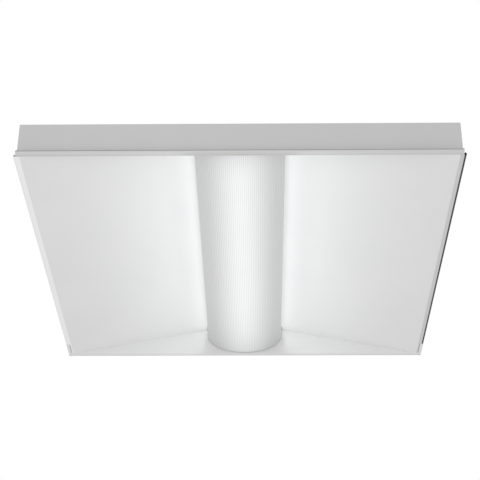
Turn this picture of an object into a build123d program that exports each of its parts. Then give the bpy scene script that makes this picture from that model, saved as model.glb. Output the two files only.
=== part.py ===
"""Recessed troffer light for a 2 ft by 2 ft ceiling grid.

Two sheet-steel wings slope up from the sides to a central trough diffuser.
End plates close the wings and carry the swing-out grid clips. Above the
diffuser a tray holds the LED boards, and on the tray stand the driver under
its hinged cover and the wiring box.

+X runs across the wings, +Y along the diffuser and +Z up into the ceiling.
Z = 0 is the underside of the flange that rests on the grid tees, and the
origin is its centre. All sizes are in millimetres.
"""
from build123d import *
from math import asin, atan2, degrees, radians, sqrt, tan
import os

os.makedirs("parts", exist_ok=True)

# Face that shows in the ceiling
face_width = 603.25  # across the side hems
face_length = 603.25  # across the end lips
grid_flange = 9.3  # flange between the face's edge and the end plate
lip_height = 3.5  # upturned outer edge of the end flange

# Housing sheet
sheet = 0.8
bend = 1.2  # bend radius to the middle of the sheet
end_height = 52.0  # end plate, from the flange's underside to its top
end_inset = 4.6  # end plate's side return, in from the face's edge
return_length = 34.0  # side return at each corner
top_flange = 12.5  # end plate's inward flange
corner_gap = 0.3  # between neighbouring sheet edges

# Wings
wing_rise = 44.2  # underside of the wing beside the diffuser
landing_width = 10.5  # wing's flange that lies on the tray
hem_radius = 2.1  # outside radius of the rolled side hem
hem_sweep = 210.0  # degrees of the hem's curl
hem_front_gap = 1.0  # strip and hem behind the front flange
end_turnup = 7.0  # wing's edge turned up against the end plate
turnup_inner_x = 86.0
turnup_outer_x = 285.0

# Tray that joins the wings and carries the light source
tray_width = 130.6
tray_skirt = 5.8  # down-turned sides of the tray

# Diffuser: an extruded trough with lengthwise prisms
diffuser_width = 126.8
diffuser_wall = 1.8
diffuser_bottom = 1.3  # lowest point above the flange's underside
corner_radius = 29.0
belly_radius = 320.0
prism_pitch = 2.8
prism_width = 2.3
prism_depth = 0.45
prism_margin = 5.0  # plain wall above the first prism
top_gap = 0.5  # diffuser's top edge below the tray
cap_wall = 0.75
cap_fit = 0.05  # between the prism crests and the end cap
cap_base = 1.5
cap_depth = 6.0
cap_gap = 0.5  # end cap to end plate, so that the diffuser can drop

# Spring clips that grip the diffuser's inner faces
clip_steel = 0.5
clip_width = 16.0
clip_drop = 12.0  # clip's leg below the tray
clip_shoulder = 6.0  # straight part of the leg
clip_nose_drop = 9.0  # nose below the tray
clip_offset = 0.6  # leg stands in from the nose
clip_foot = 11.0
clip_ys = (-150.0, 0.0, 150.0)
nose_gap = 0.1  # nose to the diffuser

# LED boards, two rows of two
board_end_gap = 8.3  # board to end plate
board_width = 24.0
board_thickness = 1.6
board_gap = 8.0  # between the two boards of a row
row_spacing = 40.0
chip_size = 3.0
chip_height = 0.7
chip_pitch = 14.0
chip_screw_gap = 1.0  # least gap from a chip to a screw's head
connector_width = 8.0
connector_length = 10.0
connector_height = 4.0
moulding_edge = 0.4  # broken edges of connectors and terminals
connector_offset = 8.0  # from the board's middle towards the centre
board_screw_inset = 14.0  # from the board's ends

# Driver
driver_length = 240.0
driver_width = 42.0
driver_height = 23.0
driver_flange = 14.0
driver_plate = 1.2
driver_edge = 1.6  # rounding of the driver's case
driver_y = -102.0
driver_x = -14.0
terminal_width = 13.0
terminal_depth = 9.0
terminal_height = 11.0
terminal_lift = 5.0  # terminal above the tray
terminal_offset = 14.0  # each terminal from the driver's middle
socket_port_depth = 2.0

# Wireway on top of the tray: hinged driver cover and wiring box
total_height = 79.4
wireway_width = 88.0
wireway_length = 480.0
wiring_box_length = 108.0
wireway_gap = 4.0  # between the cover and the wiring box
cover_gap = 0.3  # under the cover's walls
cover_edge = 1.2  # rounding of the cover's bends
wire_slot_width = 20.0
wire_slot_rise = 10.0  # slot above the wires
hinge_radius = 2.1
pin_radius = 1.0
pin_fit = 0.05
bore_sides = 8  # round pins bear on the flats of the knuckles' bores
fixed_knuckle = 14.0
moving_knuckle = 8.0
knuckle_gap = 0.3
hinge_reach = 8.1  # hinge line out from the cover's wall
hinge_ys = (-180.0, 68.0)

# Quarter-turn latch of the cover
latch_y = -55.0
latch_head_radius = 4.4
latch_head_height = 2.0
latch_grip_width = 2.2
latch_grip_height = 5.0
latch_shank_radius = 1.9
latch_tab_width = 10.6
latch_tab_length = 30.0
latch_fit = 0.3
latch_head_gap = 0.9  # head to the cover's wall
latch_seat_gap = 0.1  # head above the cover's tab
latch_grip_inset = 0.3  # grip in from the head's edge
receptacle_height = 3.0
receptacle_radius = 4.2

# Wiring box
box_foot_width = 10.0
box_foot_length = 64.0
box_foot_screw_spacing = 46.0
box_tab_width = 18.0
box_tab_length = 12.0
knockout_radius = 11.1  # half-inch trade size
knockout_spacing = 44.0
slug_fit = 0.2
plate_edge = 3.0

# Wires, bushings and the disconnect. Wires are six-sided, to keep the facets few
wire_sides = 6
mains_wire_radius = 1.3
mains_wire_pitch = 4.0
mains_wire_sag = 3.0
feed_wire_radius = 0.8
feed_wire_spread = 2.2  # feed wires from the bushing's middle, across
feed_wire_step = 2.0  # and along
feed_wire_bend = 2.4
bushing_y = 45.0
bushing_length = 22.0
bushing_width = 10.0
bushing_corner = 2.6
bushing_wall = 1.6
bushing_rim = 1.4
bushing_lip = 1.1
bushing_fit = 0.1  # round the neck of the bushing and the grommet
grommet_radius = 6.0
grommet_sides = 12
grommet_wall = 0.8
grommet_rim = 0.8
wire_run_shares = (0.3, 0.6, 0.9)  # where each mains wire bends
wire_dips = (-1.0, 0.4, -0.5)  # of the sag, for each mains wire
wire_bend_share = 0.45  # of a run, for each end's arc
disconnect_length = 16.0
disconnect_width = 16.0
disconnect_height = 11.0
disconnect_edge = 1.2
disconnect_step = 0.8  # socket smaller than the plug, all round
disconnect_y = 150.0

# Swing-out grid clips
tee_height = 38.0  # grid tee from its face to the top of its bulb
tee_gap = 0.3
grid_clip_width = 11.0
grid_clip_reach = 33.0
grid_clip_hook = 3.2
grid_clip_hook_drop = 4.0
grid_clip_edge = 1.0
grid_clip_inset = 14.0  # pivot from the end plate
grid_clip_gap = 0.1
rivet_radius = 1.5
rivet_head_radius = 3.2
rivet_head_height = 1.1
rivet_tail_radius = 2.6
rivet_tail_height = 0.8
rivet_fit = 0.1
rivet_seat_gap = 0.05  # head above the clip

# Fasteners and hanger holes. Shanks and their holes are eight-sided, to keep
# the facets few
screw_sides = 8
screw_radius = 1.7
screw_fit = 0.2
screw_tip = 4.0  # below the sheet that it holds
hex_head_radius = 3.6
hex_head_height = 2.4
small_screw_radius = 1.3
small_screw_fit = 0.15
small_head_radius = 2.4
small_head_height = 1.4
small_head_taper = 20.0
small_screw_length = 2.4  # below the access plate's face
hanger_radius = 2.8
hanger_inset = 21.6  # from the face's edge
end_screw_spacing = 60.0
wing_screw_ys = (-225.0, -75.0, 75.0, 225.0)
ground_screw_x = 30.0
ground_screw_y = 150.0

# Places that follow from the sizes above
half_width = face_width / 2
half_length = face_length / 2
plate_y = half_length - grid_flange  # inner face of the end plates
web_y = plate_y + sheet / 2
return_x = half_width - end_inset - sheet / 2
return_face_x = return_x + sheet / 2
strip_edge_x = return_x - bend - corner_gap  # clear of the returns' bends
tray_half = tray_width / 2
tray_top = end_height - sheet
tray_under = tray_top - sheet
tray_end_y = plate_y - bend  # clear of the end plates' top bends
riser_x = tray_half + sheet / 2
slope_foot_x = half_width - grid_flange
hem_x = half_width - hem_radius
hem_clear = 2 * (hem_radius + corner_gap)
lens_half = diffuser_width / 2
lens_inner = lens_half - diffuser_wall
lens_top = tray_under - top_gap
cap_end_y = plate_y - cap_gap
lens_end_y = cap_end_y - cap_base
board_under = tray_under - board_thickness
row_x = row_spacing / 2
board_length = plate_y - board_end_gap - board_gap / 2
board_y = (board_gap + board_length) / 2
connector_x = row_x - connector_offset
flange_mid_y = plate_y - top_flange / 2
hanger_xs = (hanger_inset - half_width, half_width - hanger_inset)
end_screw_xs = (-end_screw_spacing / 2, end_screw_spacing / 2)
screw_line_x = riser_x - landing_width / 2 - sheet
nose_x = lens_inner - nose_gap - clip_steel / 2
leg_x = nose_x - clip_offset
box_rear_y = wireway_length / 2
box_front_y = box_rear_y - wiring_box_length
box_mid_y = (box_front_y + box_rear_y) / 2
wireway_top = total_height - small_head_height
cover_front_y = -wireway_length / 2
cover_rear_y = box_front_y - wireway_gap
cover_half = wireway_width / 2
cover_bottom = tray_top + cover_gap
hinge_x = -cover_half - hinge_reach
hinge_z = cover_bottom + hinge_radius
leaf_top = cover_bottom + sheet
latch_x = cover_half + latch_head_radius + latch_head_gap
input_x = driver_x - terminal_offset
output_x = driver_x + terminal_offset
driver_end_y = driver_y + driver_length / 2
terminal_end_y = driver_end_y + terminal_depth
wire_z = tray_top + terminal_lift + terminal_height / 2
disconnect_end_y = disconnect_y + disconnect_length
grid_clip_y = plate_y - grid_clip_inset
grid_clip_z = tee_height + tee_gap + grid_clip_width / 2


def facing_front(y):
    """Sketch plane at depth y whose extrusions run towards -Y, with Z upright."""
    return Plane.XZ.offset(-y)


def keep(builder, name):
    """Label a finished piece and write it."""
    builder.part.label = name
    export_step(builder.part, f"parts/{name}.step")


# ---------------------------------------------------------------- housing


def wing_height(x):
    """Height of the middle of the wing's sheet at distance x from the centre."""
    share = (slope_foot_x - x) / (slope_foot_x - riser_x)
    return sheet / 2 + wing_rise * share


def build_wing(side):
    """One wing: landing on the tray, riser, sloping reflector, strip and rolled hem."""
    hem_rear_y = plate_y - return_length
    with BuildPart() as wing:
        with BuildSketch(facing_front(plate_y)):
            with BuildLine():
                FilletPolyline(
                    (side * (riser_x - landing_width), tray_top + sheet / 2),
                    (side * riser_x, tray_top + sheet / 2),
                    (side * riser_x, wing_height(riser_x)),
                    (side * slope_foot_x, sheet / 2),
                    (side * strip_edge_x, sheet / 2),
                    radius=bend,
                )
            trace(line_width=sheet)
        extrude(amount=2 * plate_y)
        # Rolled hem, from the front flange to the rear corner piece
        with BuildSketch(facing_front(hem_rear_y)):
            with BuildLine():
                Line((side * strip_edge_x, sheet / 2), (side * hem_x, sheet / 2))
                CenterArc((side * hem_x, hem_radius), hem_radius - sheet / 2, -90, side * hem_sweep)
            trace(line_width=sheet)
        extrude(amount=hem_rear_y + plate_y)
        with BuildSketch(Plane.XY):
            with Locations((side * (half_width - grid_flange / 2), hem_front_gap / 2 - plate_y)):
                Rectangle(grid_flange, hem_front_gap)
        extrude(amount=2 * hem_radius, mode=Mode.SUBTRACT)
        # Ends turned up against the end plates
        for end_y in (plate_y, sheet - plate_y):
            with BuildSketch(facing_front(end_y)):
                Polygon(
                    (side * turnup_inner_x, wing_height(turnup_inner_x)),
                    (side * turnup_outer_x, wing_height(turnup_outer_x)),
                    (side * turnup_outer_x, wing_height(turnup_outer_x) + end_turnup),
                    (side * turnup_inner_x, wing_height(turnup_inner_x) + end_turnup),
                    align=None,
                )
            extrude(amount=sheet)
        # The landing stops short of the end plates' top flanges
        notch_length = top_flange + corner_gap
        with BuildSketch(Plane.XY.offset(tray_top)):
            with Locations((0, plate_y - notch_length / 2), (0, notch_length / 2 - plate_y)):
                Rectangle(2 * (riser_x + sheet), notch_length)
            with Locations(*[(side * screw_line_x, y) for y in wing_screw_ys]):
                RegularPolygon(screw_radius + screw_fit, screw_sides)
        extrude(amount=2 * sheet, mode=Mode.SUBTRACT)
        # Riser's top corners, under the bends of the end plates
        with BuildSketch(Plane.XY.offset(tray_top - bend)):
            with Locations((0, plate_y - bend / 2), (0, bend / 2 - plate_y)):
                Rectangle(2 * (riser_x + sheet), bend)
        extrude(amount=bend, mode=Mode.SUBTRACT)
    return wing


wing_left = build_wing(-1)
keep(wing_left, "wing_left")
wing_right = build_wing(1)
keep(wing_right, "wing_right")


def build_end_plate(side, closes_corners):
    """One end plate: lip, grid flange, web, top flange and a return at each corner.

    The rear plate closes the corners: its returns reach down to a foot beside
    the shortened hems. The front plate's lip ends flush with its returns, which
    stop above the hems.
    """
    core_half = strip_edge_x - corner_gap
    foot_x = half_width - corner_gap - sheet / 2
    lip_end_x = foot_x if closes_corners else return_face_x
    return_bottom = 0.0 if closes_corners else hem_clear
    lip_y = half_length - sheet / 2
    with BuildPart() as plate:
        with BuildSketch(Plane.YZ.offset(-core_half)):
            with BuildLine():
                FilletPolyline(
                    (side * lip_y, lip_height),
                    (side * lip_y, sheet / 2),
                    (side * web_y, sheet / 2),
                    (side * web_y, end_height - sheet / 2),
                    (side * (plate_y - top_flange), end_height - sheet / 2),
                    radius=bend,
                )
            trace(line_width=sheet)
        extrude(amount=2 * core_half)
        with BuildSketch(Plane.XY.offset(return_bottom)):
            with BuildLine():
                FilletPolyline(
                    (-return_x, side * (plate_y - return_length)),
                    (-return_x, side * web_y),
                    (return_x, side * web_y),
                    (return_x, side * (plate_y - return_length)),
                    radius=bend,
                )
            trace(line_width=sheet)
        extrude(amount=end_height - return_bottom)
        # Flange and lip run on past the web
        with BuildSketch(Plane.YZ.offset(-lip_end_x)):
            with BuildLine():
                FilletPolyline(
                    (side * lip_y, lip_height),
                    (side * lip_y, sheet / 2),
                    (side * plate_y, sheet / 2),
                    radius=bend,
                )
            trace(line_width=sheet)
        extrude(amount=2 * lip_end_x)
        if closes_corners:
            # Foot and lip along each return
            for x_sign in (-1, 1):
                with BuildSketch(facing_front(side * lip_y)):
                    with BuildLine():
                        Polyline(
                            (x_sign * return_x, sheet / 2),
                            (x_sign * foot_x, sheet / 2),
                            (x_sign * foot_x, lip_height),
                        )
                    trace(line_width=sheet)
                extrude(amount=side * (lip_y - plate_y + return_length))
        # Hanger-wire holes and screw holes in the top flange
        with BuildSketch(Plane.XY.offset(tray_top)):
            with Locations(*[(x, side * flange_mid_y) for x in hanger_xs]):
                Circle(hanger_radius)
            with Locations(*[(x, side * flange_mid_y) for x in end_screw_xs]):
                RegularPolygon(screw_radius + screw_fit, screw_sides)
        extrude(amount=sheet, mode=Mode.SUBTRACT)
        with BuildSketch(Plane.YZ):
            with Locations((side * grid_clip_y, grid_clip_z)):
                RegularPolygon(rivet_radius + rivet_fit, screw_sides, major_radius=False)
        extrude(amount=half_width, both=True, mode=Mode.SUBTRACT)
    return plate


end_plate_front = build_end_plate(-1, closes_corners=False)
keep(end_plate_front, "end_plate_front")
end_plate_rear = build_end_plate(1, closes_corners=True)
keep(end_plate_rear, "end_plate_rear")

# Fastener places on the tray
wing_screw_points = [(s * screw_line_x, y) for s in (-1, 1) for y in wing_screw_ys]
end_screw_points = [(x, s * flange_mid_y) for s in (-1, 1) for x in end_screw_xs]
box_foot_x = cover_half + box_foot_width / 2
box_screw_points = [
    (s * box_foot_x, box_mid_y + along * box_foot_screw_spacing / 2) for s in (-1, 1) for along in (-1, 1)
]
driver_screw_points = [
    (driver_x, driver_y + s * (driver_length + driver_flange) / 2) for s in (-1, 1)
]
board_screw_offsets = (board_screw_inset - board_length / 2, board_length / 2 - board_screw_inset)
board_screw_points = [
    (s * row_x, t * board_y + offset) for s in (-1, 1) for t in (-1, 1) for offset in board_screw_offsets
]


def bushing_outline(outset):
    """Outline of the tray bushing, with cut corners, moved outwards by outset."""
    with BuildSketch() as outline:
        with Locations((output_x, bushing_y)):
            Rectangle(bushing_width + 2 * outset, bushing_length + 2 * outset)
        chamfer(outline.vertices(), length=bushing_corner)
    return outline.sketch


with BuildPart() as led_tray:
    with BuildSketch(facing_front(tray_end_y)):
        with BuildLine():
            FilletPolyline(
                (sheet / 2 - tray_half, tray_top - tray_skirt),
                (sheet / 2 - tray_half, tray_top - sheet / 2),
                (tray_half - sheet / 2, tray_top - sheet / 2),
                (tray_half - sheet / 2, tray_top - tray_skirt),
                radius=bend,
            )
        trace(line_width=sheet)
    extrude(amount=2 * tray_end_y)
    with BuildSketch(Plane.XY.offset(tray_under)):
        with Locations(*wing_screw_points, *end_screw_points, *box_screw_points):
            RegularPolygon(screw_radius + screw_fit, screw_sides)
        with Locations((ground_screw_x, ground_screw_y)):
            RegularPolygon(screw_radius + screw_fit, screw_sides)
        with Locations(*driver_screw_points, *board_screw_points):
            RegularPolygon(small_screw_radius + small_screw_fit, screw_sides)
        with Locations((latch_x, latch_y)):
            Circle(latch_shank_radius + latch_fit)
        add(bushing_outline(0))
    extrude(amount=sheet, mode=Mode.SUBTRACT)
keep(led_tray, "led_tray")


# --------------------------------------------------------------- diffuser


def trough_line(outset):
    """The diffuser's outer line in the open BuildLine, moved outwards by outset.

    Upright sides run into corner arcs, which meet the shallow belly arc
    tangentially.
    """
    half = lens_half + outset
    corner = corner_radius + outset
    belly = belly_radius + outset
    reach = half - corner
    turn = degrees(asin(reach / (belly - corner)))
    belly_centre = diffuser_bottom + belly_radius
    corner_centre = belly_centre - sqrt((belly - corner) ** 2 - reach**2)
    Line((-half, lens_top), (-half, corner_centre))
    CenterArc((-reach, corner_centre), corner, 180, 90 - turn)
    CenterArc((0, belly_centre), belly, 270 - turn, 2 * turn)
    CenterArc((reach, corner_centre), corner, 270 + turn, 90 - turn)
    Line((half, corner_centre), (half, lens_top))


# Where the prism grooves lie along the diffuser's outer line
with BuildLine() as prism_line:
    trough_line(0)
prism_wire = prism_line.wires()[0]
prism_run = prism_wire.length - 2 * prism_margin
groove_count = int(prism_run / prism_pitch)
groove_start = (prism_wire.length - (groove_count - 1) * prism_pitch) / 2
groove_places = []
for groove in range(groove_count):
    share = (groove_start + groove * prism_pitch) / prism_wire.length
    point = prism_wire.position_at(share)
    along = prism_wire.tangent_at(share)
    groove_places.append(Location((point.X, point.Y, 0), (0, 0, degrees(atan2(along.Y, along.X)))))

with BuildPart() as diffuser:
    with BuildSketch(facing_front(lens_end_y)):
        with BuildLine():
            trough_line(-diffuser_wall / 2)
        trace(line_width=diffuser_wall)
        with Locations(*groove_places):
            Polygon(
                (-prism_width / 2, 0),
                (0, -prism_depth),
                (prism_width / 2, 0),
                (0, prism_depth),
                align=None,
                mode=Mode.SUBTRACT,
            )
    extrude(amount=2 * lens_end_y)
keep(diffuser, "diffuser")


def build_end_cap(side):
    """Shallow cup that closes one end of the diffuser."""
    rim_line = cap_fit + cap_wall / 2
    outer_line = cap_fit + cap_wall
    with BuildPart() as cap:
        with BuildSketch(facing_front(side * cap_end_y)):
            with BuildLine():
                trough_line(outer_line)
                Line((lens_half + outer_line, lens_top), (-lens_half - outer_line, lens_top))
            make_face()
        extrude(amount=side * cap_base)
        with BuildSketch(facing_front(side * cap_end_y)):
            with BuildLine():
                trough_line(rim_line)
            trace(line_width=cap_wall)
        extrude(amount=side * cap_depth)
    return cap


diffuser_cap_front = build_end_cap(-1)
keep(diffuser_cap_front, "diffuser_cap_front")
diffuser_cap_rear = build_end_cap(1)
keep(diffuser_cap_rear, "diffuser_cap_rear")

with BuildPart() as diffuser_clips:
    foot_z = tray_under - clip_steel / 2
    for side in (-1, 1):
        for y in clip_ys:
            with BuildSketch(facing_front(y + clip_width / 2)):
                with BuildLine():
                    Polyline(
                        (side * (leg_x - clip_foot), foot_z),
                        (side * leg_x, foot_z),
                        (side * leg_x, foot_z - clip_shoulder),
                        (side * nose_x, foot_z - clip_nose_drop),
                        (side * (leg_x - clip_offset), foot_z - clip_drop),
                    )
                trace(line_width=clip_steel)
            extrude(amount=clip_width)
keep(diffuser_clips, "diffuser_clips")


# ----------------------------------------------------------- light source


def build_board(x_sign, y_sign):
    """One LED board with its screw holes."""
    with BuildPart() as board:
        with BuildSketch(Plane.XY.offset(board_under)):
            with Locations((x_sign * row_x, y_sign * board_y)):
                Rectangle(board_width, board_length)
            with Locations(*[(x_sign * row_x, y_sign * board_y + offset) for offset in board_screw_offsets]):
                RegularPolygon(small_screw_radius + small_screw_fit, screw_sides, mode=Mode.SUBTRACT)
        extrude(amount=board_thickness)
    return board


for x_name, x_sign in (("left", -1), ("right", 1)):
    for y_name, y_sign in (("front", -1), ("rear", 1)):
        keep(build_board(x_sign, y_sign), f"led_board_{y_name}_{x_name}")

chips_in_board = int(board_length / chip_pitch)
chip_steps = [chip_pitch * (number - (chips_in_board - 1) / 2) for number in range(chips_in_board)]
chip_to_screw = chip_size / 2 + small_head_radius + chip_screw_gap
chip_offsets = [
    step for step in chip_steps if all(abs(step - screw) > chip_to_screw for screw in board_screw_offsets)
]
with BuildPart() as led_chips:
    with BuildSketch(Plane.XY.offset(board_under)):
        for x_sign in (-1, 1):
            for y_sign in (-1, 1):
                with Locations(*[(x_sign * row_x, y_sign * board_y + offset) for offset in chip_offsets]):
                    Rectangle(chip_size, chip_size)
    extrude(amount=-chip_height)
keep(led_chips, "led_chips")

jumper_y = (board_gap + connector_length) / 2
connector_points = [(s * connector_x, t * jumper_y) for s in (-1, 1) for t in (-1, 1)]
connector_points += [(s * connector_x, bushing_y) for s in (-1, 1)]
with BuildPart() as board_connectors:
    with BuildSketch(Plane.XY.offset(board_under)):
        with Locations(*connector_points):
            Rectangle(connector_width, connector_length)
    extrude(amount=-connector_height)
    chamfer(board_connectors.faces().sort_by(Axis.Z)[: len(connector_points)].edges(), length=moulding_edge)
keep(board_connectors, "board_connectors")

connector_z = board_under - connector_height / 2
with BuildPart() as board_jumpers:
    with BuildSketch(facing_front(board_gap / 2)):
        with Locations(
            *[(s * connector_x + t * feed_wire_step, connector_z) for s in (-1, 1) for t in (-1, 1)]
        ):
            RegularPolygon(feed_wire_radius, wire_sides)
    extrude(amount=board_gap)
keep(board_jumpers, "board_jumpers")

with BuildPart() as tray_bushing:
    with BuildSketch(Plane.XY.offset(tray_top)):
        add(bushing_outline(bushing_rim))
    extrude(amount=bushing_lip)
    with BuildSketch(Plane.XY.offset(tray_under - bushing_lip)):
        add(bushing_outline(-bushing_fit))
    extrude(amount=sheet + bushing_lip)
    with BuildSketch(Plane.XY.offset(tray_under - bushing_lip)):
        add(bushing_outline(-bushing_wall))
    extrude(amount=sheet + 2 * bushing_lip, mode=Mode.SUBTRACT)
keep(tray_bushing, "tray_bushing")


def build_wire(points, radius, radii):
    """A wire along straight runs joined by tangent arcs."""
    with BuildPart() as wire:
        with BuildLine() as route:
            FilletPolyline(*points, radius=radii)
        start = route.wires()[0]
        with BuildSketch(Plane(origin=start.position_at(0), z_dir=start.tangent_at(0))):
            RegularPolygon(radius, wire_sides)
        sweep(path=start)
    return wire


def easy_radii(points):
    """The arc at each corner, as large as its two runs allow."""
    vectors = [Vector(*point) for point in points]
    radii = []
    for before, corner, after in zip(vectors, vectors[1:], vectors[2:]):
        turn = radians((corner - before).get_angle(after - corner))
        shorter = min((corner - before).length, (after - corner).length)
        radii.append(wire_bend_share * shorter / tan(turn / 2))
    return radii


with BuildPart() as feed_wires:
    for x_sign in (-1, 1):
        for y_sign in (-1, 1):
            run_x = output_x + x_sign * feed_wire_spread
            run_z = wire_z + y_sign * feed_wire_step
            drop_y = bushing_y + y_sign * feed_wire_step
            wire_points = [
                (run_x, terminal_end_y, run_z),
                (run_x, drop_y, run_z),
                (run_x, drop_y, connector_z),
                (x_sign * (connector_x - connector_width / 2), drop_y, connector_z),
            ]
            add(build_wire(wire_points, feed_wire_radius, feed_wire_bend).part)
keep(feed_wires, "feed_wires")

# ----------------------------------------------------------------- driver

with BuildPart() as driver_base:
    with BuildSketch(Plane.XY.offset(tray_top)):
        with Locations((driver_x, driver_y)):
            Rectangle(driver_width, driver_length + 2 * driver_flange)
        with Locations(*driver_screw_points):
            RegularPolygon(small_screw_radius + small_screw_fit, screw_sides, mode=Mode.SUBTRACT)
    extrude(amount=driver_plate)
keep(driver_base, "driver_base")

with BuildPart() as driver_case:
    with BuildSketch(Plane.XY.offset(tray_top + driver_plate)):
        with Locations((driver_x, driver_y)):
            Rectangle(driver_width, driver_length)
    extrude(amount=driver_height - driver_plate)
    fillet(driver_case.edges().filter_by(Axis.Y).sort_by(Axis.Z)[-2:], radius=driver_edge)
keep(driver_case, "driver_case")

mains_wire_xs = [input_x + step * mains_wire_pitch for step in (-1, 0, 1)]
with BuildPart() as driver_terminals:
    with BuildSketch(facing_front(terminal_end_y)):
        with Locations((input_x, wire_z), (output_x, wire_z)):
            Rectangle(terminal_width, terminal_height)
    extrude(amount=terminal_depth)
    chamfer(driver_terminals.edges().filter_by(Axis.Y), length=moulding_edge)
keep(driver_terminals, "driver_terminals")

# ---------------------------------------------------------------- wireway

with BuildPart() as driver_cover:
    cover_length = cover_rear_y - cover_front_y
    cover_mid_y = (cover_rear_y + cover_front_y) / 2
    with BuildSketch(Plane.XY.offset(cover_bottom)):
        with Locations((0, cover_mid_y)):
            Rectangle(wireway_width, cover_length)
    extrude(amount=wireway_top - cover_bottom)
    fillet(driver_cover.edges().group_by(Axis.Z)[-1], radius=cover_edge)
    with BuildSketch(Plane.XY.offset(cover_bottom)):
        with Locations((0, cover_mid_y)):
            Rectangle(wireway_width - 2 * sheet, cover_length - 2 * sheet)
    extrude(amount=wireway_top - cover_bottom - sheet, mode=Mode.SUBTRACT)
    # Leaves with their knuckles, each side of the fixed ones
    for y in hinge_ys:
        for s in (-1, 1):
            far_y = y + s * (fixed_knuckle / 2 + knuckle_gap) + (moving_knuckle if s > 0 else 0)
            with BuildSketch(facing_front(far_y)):
                with Locations((hinge_x, hinge_z)):
                    Circle(hinge_radius)
                with Locations((hinge_x, cover_bottom)):
                    Rectangle(hinge_reach + sheet, sheet, align=(Align.MIN, Align.MIN))
            extrude(amount=moving_knuckle)
    with BuildSketch(facing_front(cover_rear_y)):
        with Locations((hinge_x, hinge_z)):
            RegularPolygon(pin_radius + pin_fit, bore_sides, major_radius=False)
    extrude(amount=cover_length, mode=Mode.SUBTRACT)
    # Latch tab on the free side
    with BuildSketch(Plane.XY.offset(cover_bottom)):
        with Locations((cover_half - sheet, latch_y)):
            Rectangle(latch_tab_width + sheet, latch_tab_length, align=(Align.MIN, Align.CENTER))
    extrude(amount=sheet)
    with BuildSketch(Plane.XY.offset(cover_bottom)):
        with Locations((latch_x, latch_y)):
            Circle(latch_shank_radius + latch_fit)
    extrude(amount=sheet, mode=Mode.SUBTRACT)
    # Open slot in the rear wall, over the mains wires
    with BuildSketch(facing_front(cover_rear_y)):
        with Locations((input_x, cover_bottom)):
            Rectangle(
                wire_slot_width,
                wire_z + wire_slot_rise - cover_bottom,
                align=(Align.CENTER, Align.MIN),
            )
    extrude(amount=2 * sheet, mode=Mode.SUBTRACT)
keep(driver_cover, "driver_cover")

with BuildPart() as cover_hinge_leaves:
    for y in hinge_ys:
        with BuildSketch(facing_front(y + fixed_knuckle / 2)):
            with Locations((hinge_x, hinge_z)):
                Circle(hinge_radius)
            with Locations((hinge_x, tray_top)):
                Rectangle(hinge_reach - cover_gap, leaf_top - tray_top, align=(Align.MIN, Align.MIN))
            with Locations((hinge_x, hinge_z)):
                RegularPolygon(pin_radius + pin_fit, bore_sides, major_radius=False, mode=Mode.SUBTRACT)
        extrude(amount=fixed_knuckle)
keep(cover_hinge_leaves, "cover_hinge_leaves")

pin_length = fixed_knuckle + 2 * (moving_knuckle + knuckle_gap)
with BuildPart() as hinge_pins:
    for y in hinge_ys:
        with BuildSketch(facing_front(y + pin_length / 2)):
            with Locations((hinge_x, hinge_z)):
                Circle(pin_radius)
        extrude(amount=pin_length)
keep(hinge_pins, "hinge_pins")

with BuildPart() as cover_latch:
    head_z = cover_bottom + sheet + latch_seat_gap
    with BuildSketch(Plane.XY.offset(head_z)):
        with Locations((latch_x, latch_y)):
            Circle(latch_head_radius)
    extrude(amount=latch_head_height)
    with BuildSketch(Plane.XY.offset(head_z + latch_head_height)):
        with Locations((latch_x, latch_y)):
            SlotOverall(2 * (latch_head_radius - latch_grip_inset), latch_grip_width)
    extrude(amount=latch_grip_height)
    with BuildSketch(Plane.XY.offset(tray_under - receptacle_height)):
        with Locations((latch_x, latch_y)):
            Circle(latch_shank_radius)
    extrude(amount=head_z - tray_under + receptacle_height)
keep(cover_latch, "cover_latch")

with BuildPart() as latch_receptacle:
    with BuildSketch(Plane.XY.offset(tray_under)):
        with Locations((latch_x, latch_y)):
            RegularPolygon(receptacle_radius, 6)
            Circle(latch_shank_radius + latch_fit, mode=Mode.SUBTRACT)
    extrude(amount=-receptacle_height)
keep(latch_receptacle, "latch_receptacle")

with BuildPart() as wiring_box:
    wall_height = wireway_top - sheet - tray_top
    with BuildSketch(Plane.XY.offset(tray_top)):
        with Locations((0, box_mid_y)):
            RectangleRounded(wireway_width, wiring_box_length, bend)
            Rectangle(wireway_width - 2 * sheet, wiring_box_length - 2 * sheet, mode=Mode.SUBTRACT)
    extrude(amount=wall_height)
    # Feet on the tray and tabs under the access plate
    with BuildSketch(Plane.XY.offset(tray_top)):
        with Locations(*[(s * (cover_half + (box_foot_width - sheet) / 2), box_mid_y) for s in (-1, 1)]):
            Rectangle(box_foot_width + sheet, box_foot_length)
        with Locations(*box_screw_points):
            RegularPolygon(screw_radius + screw_fit, screw_sides, mode=Mode.SUBTRACT)
    extrude(amount=sheet)
    tab_y = (wiring_box_length - box_tab_length) / 2
    with BuildSketch(Plane.XY.offset(wireway_top - 2 * sheet)):
        with Locations((0, box_mid_y - tab_y), (0, box_mid_y + tab_y)):
            Rectangle(box_tab_width, box_tab_length)
            RegularPolygon(small_screw_radius + small_screw_fit, screw_sides, mode=Mode.SUBTRACT)
    extrude(amount=sheet)
    with BuildSketch(facing_front(box_front_y + sheet)):
        with Locations((input_x, wire_z)):
            RegularPolygon(grommet_radius + grommet_wall + bushing_fit, grommet_sides)
    extrude(amount=sheet, mode=Mode.SUBTRACT)
keep(wiring_box, "wiring_box")

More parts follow.
